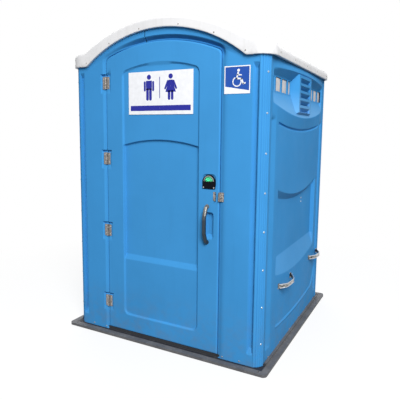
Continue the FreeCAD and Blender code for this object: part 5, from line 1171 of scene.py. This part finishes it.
for hand, word in ((1, "right"), (-1, "left")):
    side_wall(word, hand)
    louvre_box(word, hand)
    for end, place in ((-1, "front"), (1, "rear")):
        pane_strip(f"{word}_window_{place}", hand, end)
    for centre, span, place in ((-0.2845, 0.1365, "front"), (0.510, 0.127, "rear")):
        lifting_handle(f"{word}_handle_{place}", hand, centre, span)
front_panel("left", -1)
front_panel("right", 1)
rear_wall()
door()
roof()
pull_handle("door_handle", DOOR_FACE, -1, 0.041, 0.016)
pull_handle("inner_handle", DOOR_FACE + SKIN, 1, 0.054, 0.030)
for number, height in enumerate(HINGE_HEIGHTS, start=1):
    hinge(number, height)
indicator_trim()
wall_screws()
signs()


# Stage, light and camera

SKY = 0.36
SUNS = (("far_key", (0.43, -0.59, 0.69), 1.3, 25), ("rear", (-0.5, 0.75, 0.25), 1.9, 60))
KEY = ((3.2, -4.2, 4.0), (0.0, -0.3, 1.1), 250, 2.0)


def floor():
    """Pale floor that keeps the shadow near the cabin and turns to plain white where it is seen farther off."""
    f = Finish("floor_pale", Roughness=0.9, Specular_IOR_Level=0.1)
    f.paint((0.13, 0.13, 0.13), (f.noise(1.5, 3), (0.15, 0.15, 0.15)))
    pale = f.node("ShaderNodeBsdfDiffuse", Color=(0.95, 0.95, 0.95)).outputs[0]
    glow = f.node("ShaderNodeEmission", Color=(1, 1, 1), Strength=1.0).outputs[0]
    far = f.node("ShaderNodeVectorMath", Vector=f.coords)
    far.operation = "LENGTH"
    lit = f.mixed(f.fit(far.outputs["Value"], 1.3, 3.0, 0.76, 1.0), pale, glow)
    f.put(f.mixed(f.seen(), f.shader.outputs[0], lit), f.tree.nodes["Material Output"].inputs["Surface"])
    x, y = np.meshgrid(np.linspace(-60, 60, 9), np.linspace(-60, 60, 9))
    Skin().patch(xyz(x, y, -0.0005), (0, 0, 1)).piece("floor", f.material)


def surround():
    """A soft sky for the light, and plain white where the surround itself is seen."""
    world = bpy.data.worlds.new("studio")
    world.use_nodes = True
    bpy.context.scene.world = world
    w = Nodes(world.node_tree)
    w.tree.nodes.clear()
    sky, white = (w.node("ShaderNodeBackground", Color=colour, Strength=strength).outputs[0]
                  for colour, strength in (((0.95, 0.97, 1.0), SKY), ((1, 1, 1), 1.0)))
    w.node("ShaderNodeOutputWorld", Surface=w.mixed(w.seen(), sky, white))


def lamp(light, place, aim, energy):
    """Hang a light at a place, turned toward its aim."""
    light.energy = energy
    thing = linked(bpy.data.objects.new(light.name, light))
    thing.location = place
    thing.rotation_euler = (Vector(place) - Vector(aim)).to_track_quat("Z", "Y").to_euler()


def lamps():
    """One large near lamp and two wide, far ones."""
    place, aim, power, size = KEY
    light = bpy.data.lights.new("key", "AREA")
    light.size = size
    lamp(light, place, aim, power)
    for name, toward, strength, spread in SUNS:
        light = bpy.data.lights.new(name, "SUN")
        light.angle = math.radians(spread)
        lamp(light, Vector(toward).normalized() * 8, (0, 0, 0), strength)


def photograph_camera():
    """Camera from the solved view: yaw and pitch give the forward direction, roll turns the other two axes."""
    yaw, pitch, roll = (math.radians(a) for a in (27.737, 6.941, 0.607))
    place, focal, pixels, centre, sensor = (1.620, -3.230, 1.491), 440.87, 400, (201.18, 186.15), 36
    forward = Vector((-math.sin(yaw) * math.cos(pitch), math.cos(yaw) * math.cos(pitch), -math.sin(pitch)))
    right = Vector((math.cos(yaw), math.sin(yaw), 0))
    up = right.cross(forward)
    right_rolled = right * math.cos(roll) + up * math.sin(roll)
    up_rolled = up * math.cos(roll) - right * math.sin(roll)
    data = bpy.data.cameras.new("camera")
    data.sensor_width, data.lens = sensor, focal * sensor / pixels
    data.shift_x, data.shift_y = (pixels / 2 - centre[0]) / pixels, (centre[1] - pixels / 2) / pixels
    data.clip_end = 200
    camera = linked(bpy.data.objects.new("camera", data))
    turn = Matrix((right_rolled, up_rolled, -forward)).transposed().to_4x4()
    camera.matrix_world = Matrix.Translation(place) @ turn
    bpy.context.scene.camera = camera


floor()
surround()
lamps()
photograph_camera()
bpy.context.scene.view_settings.view_transform = "Standard"
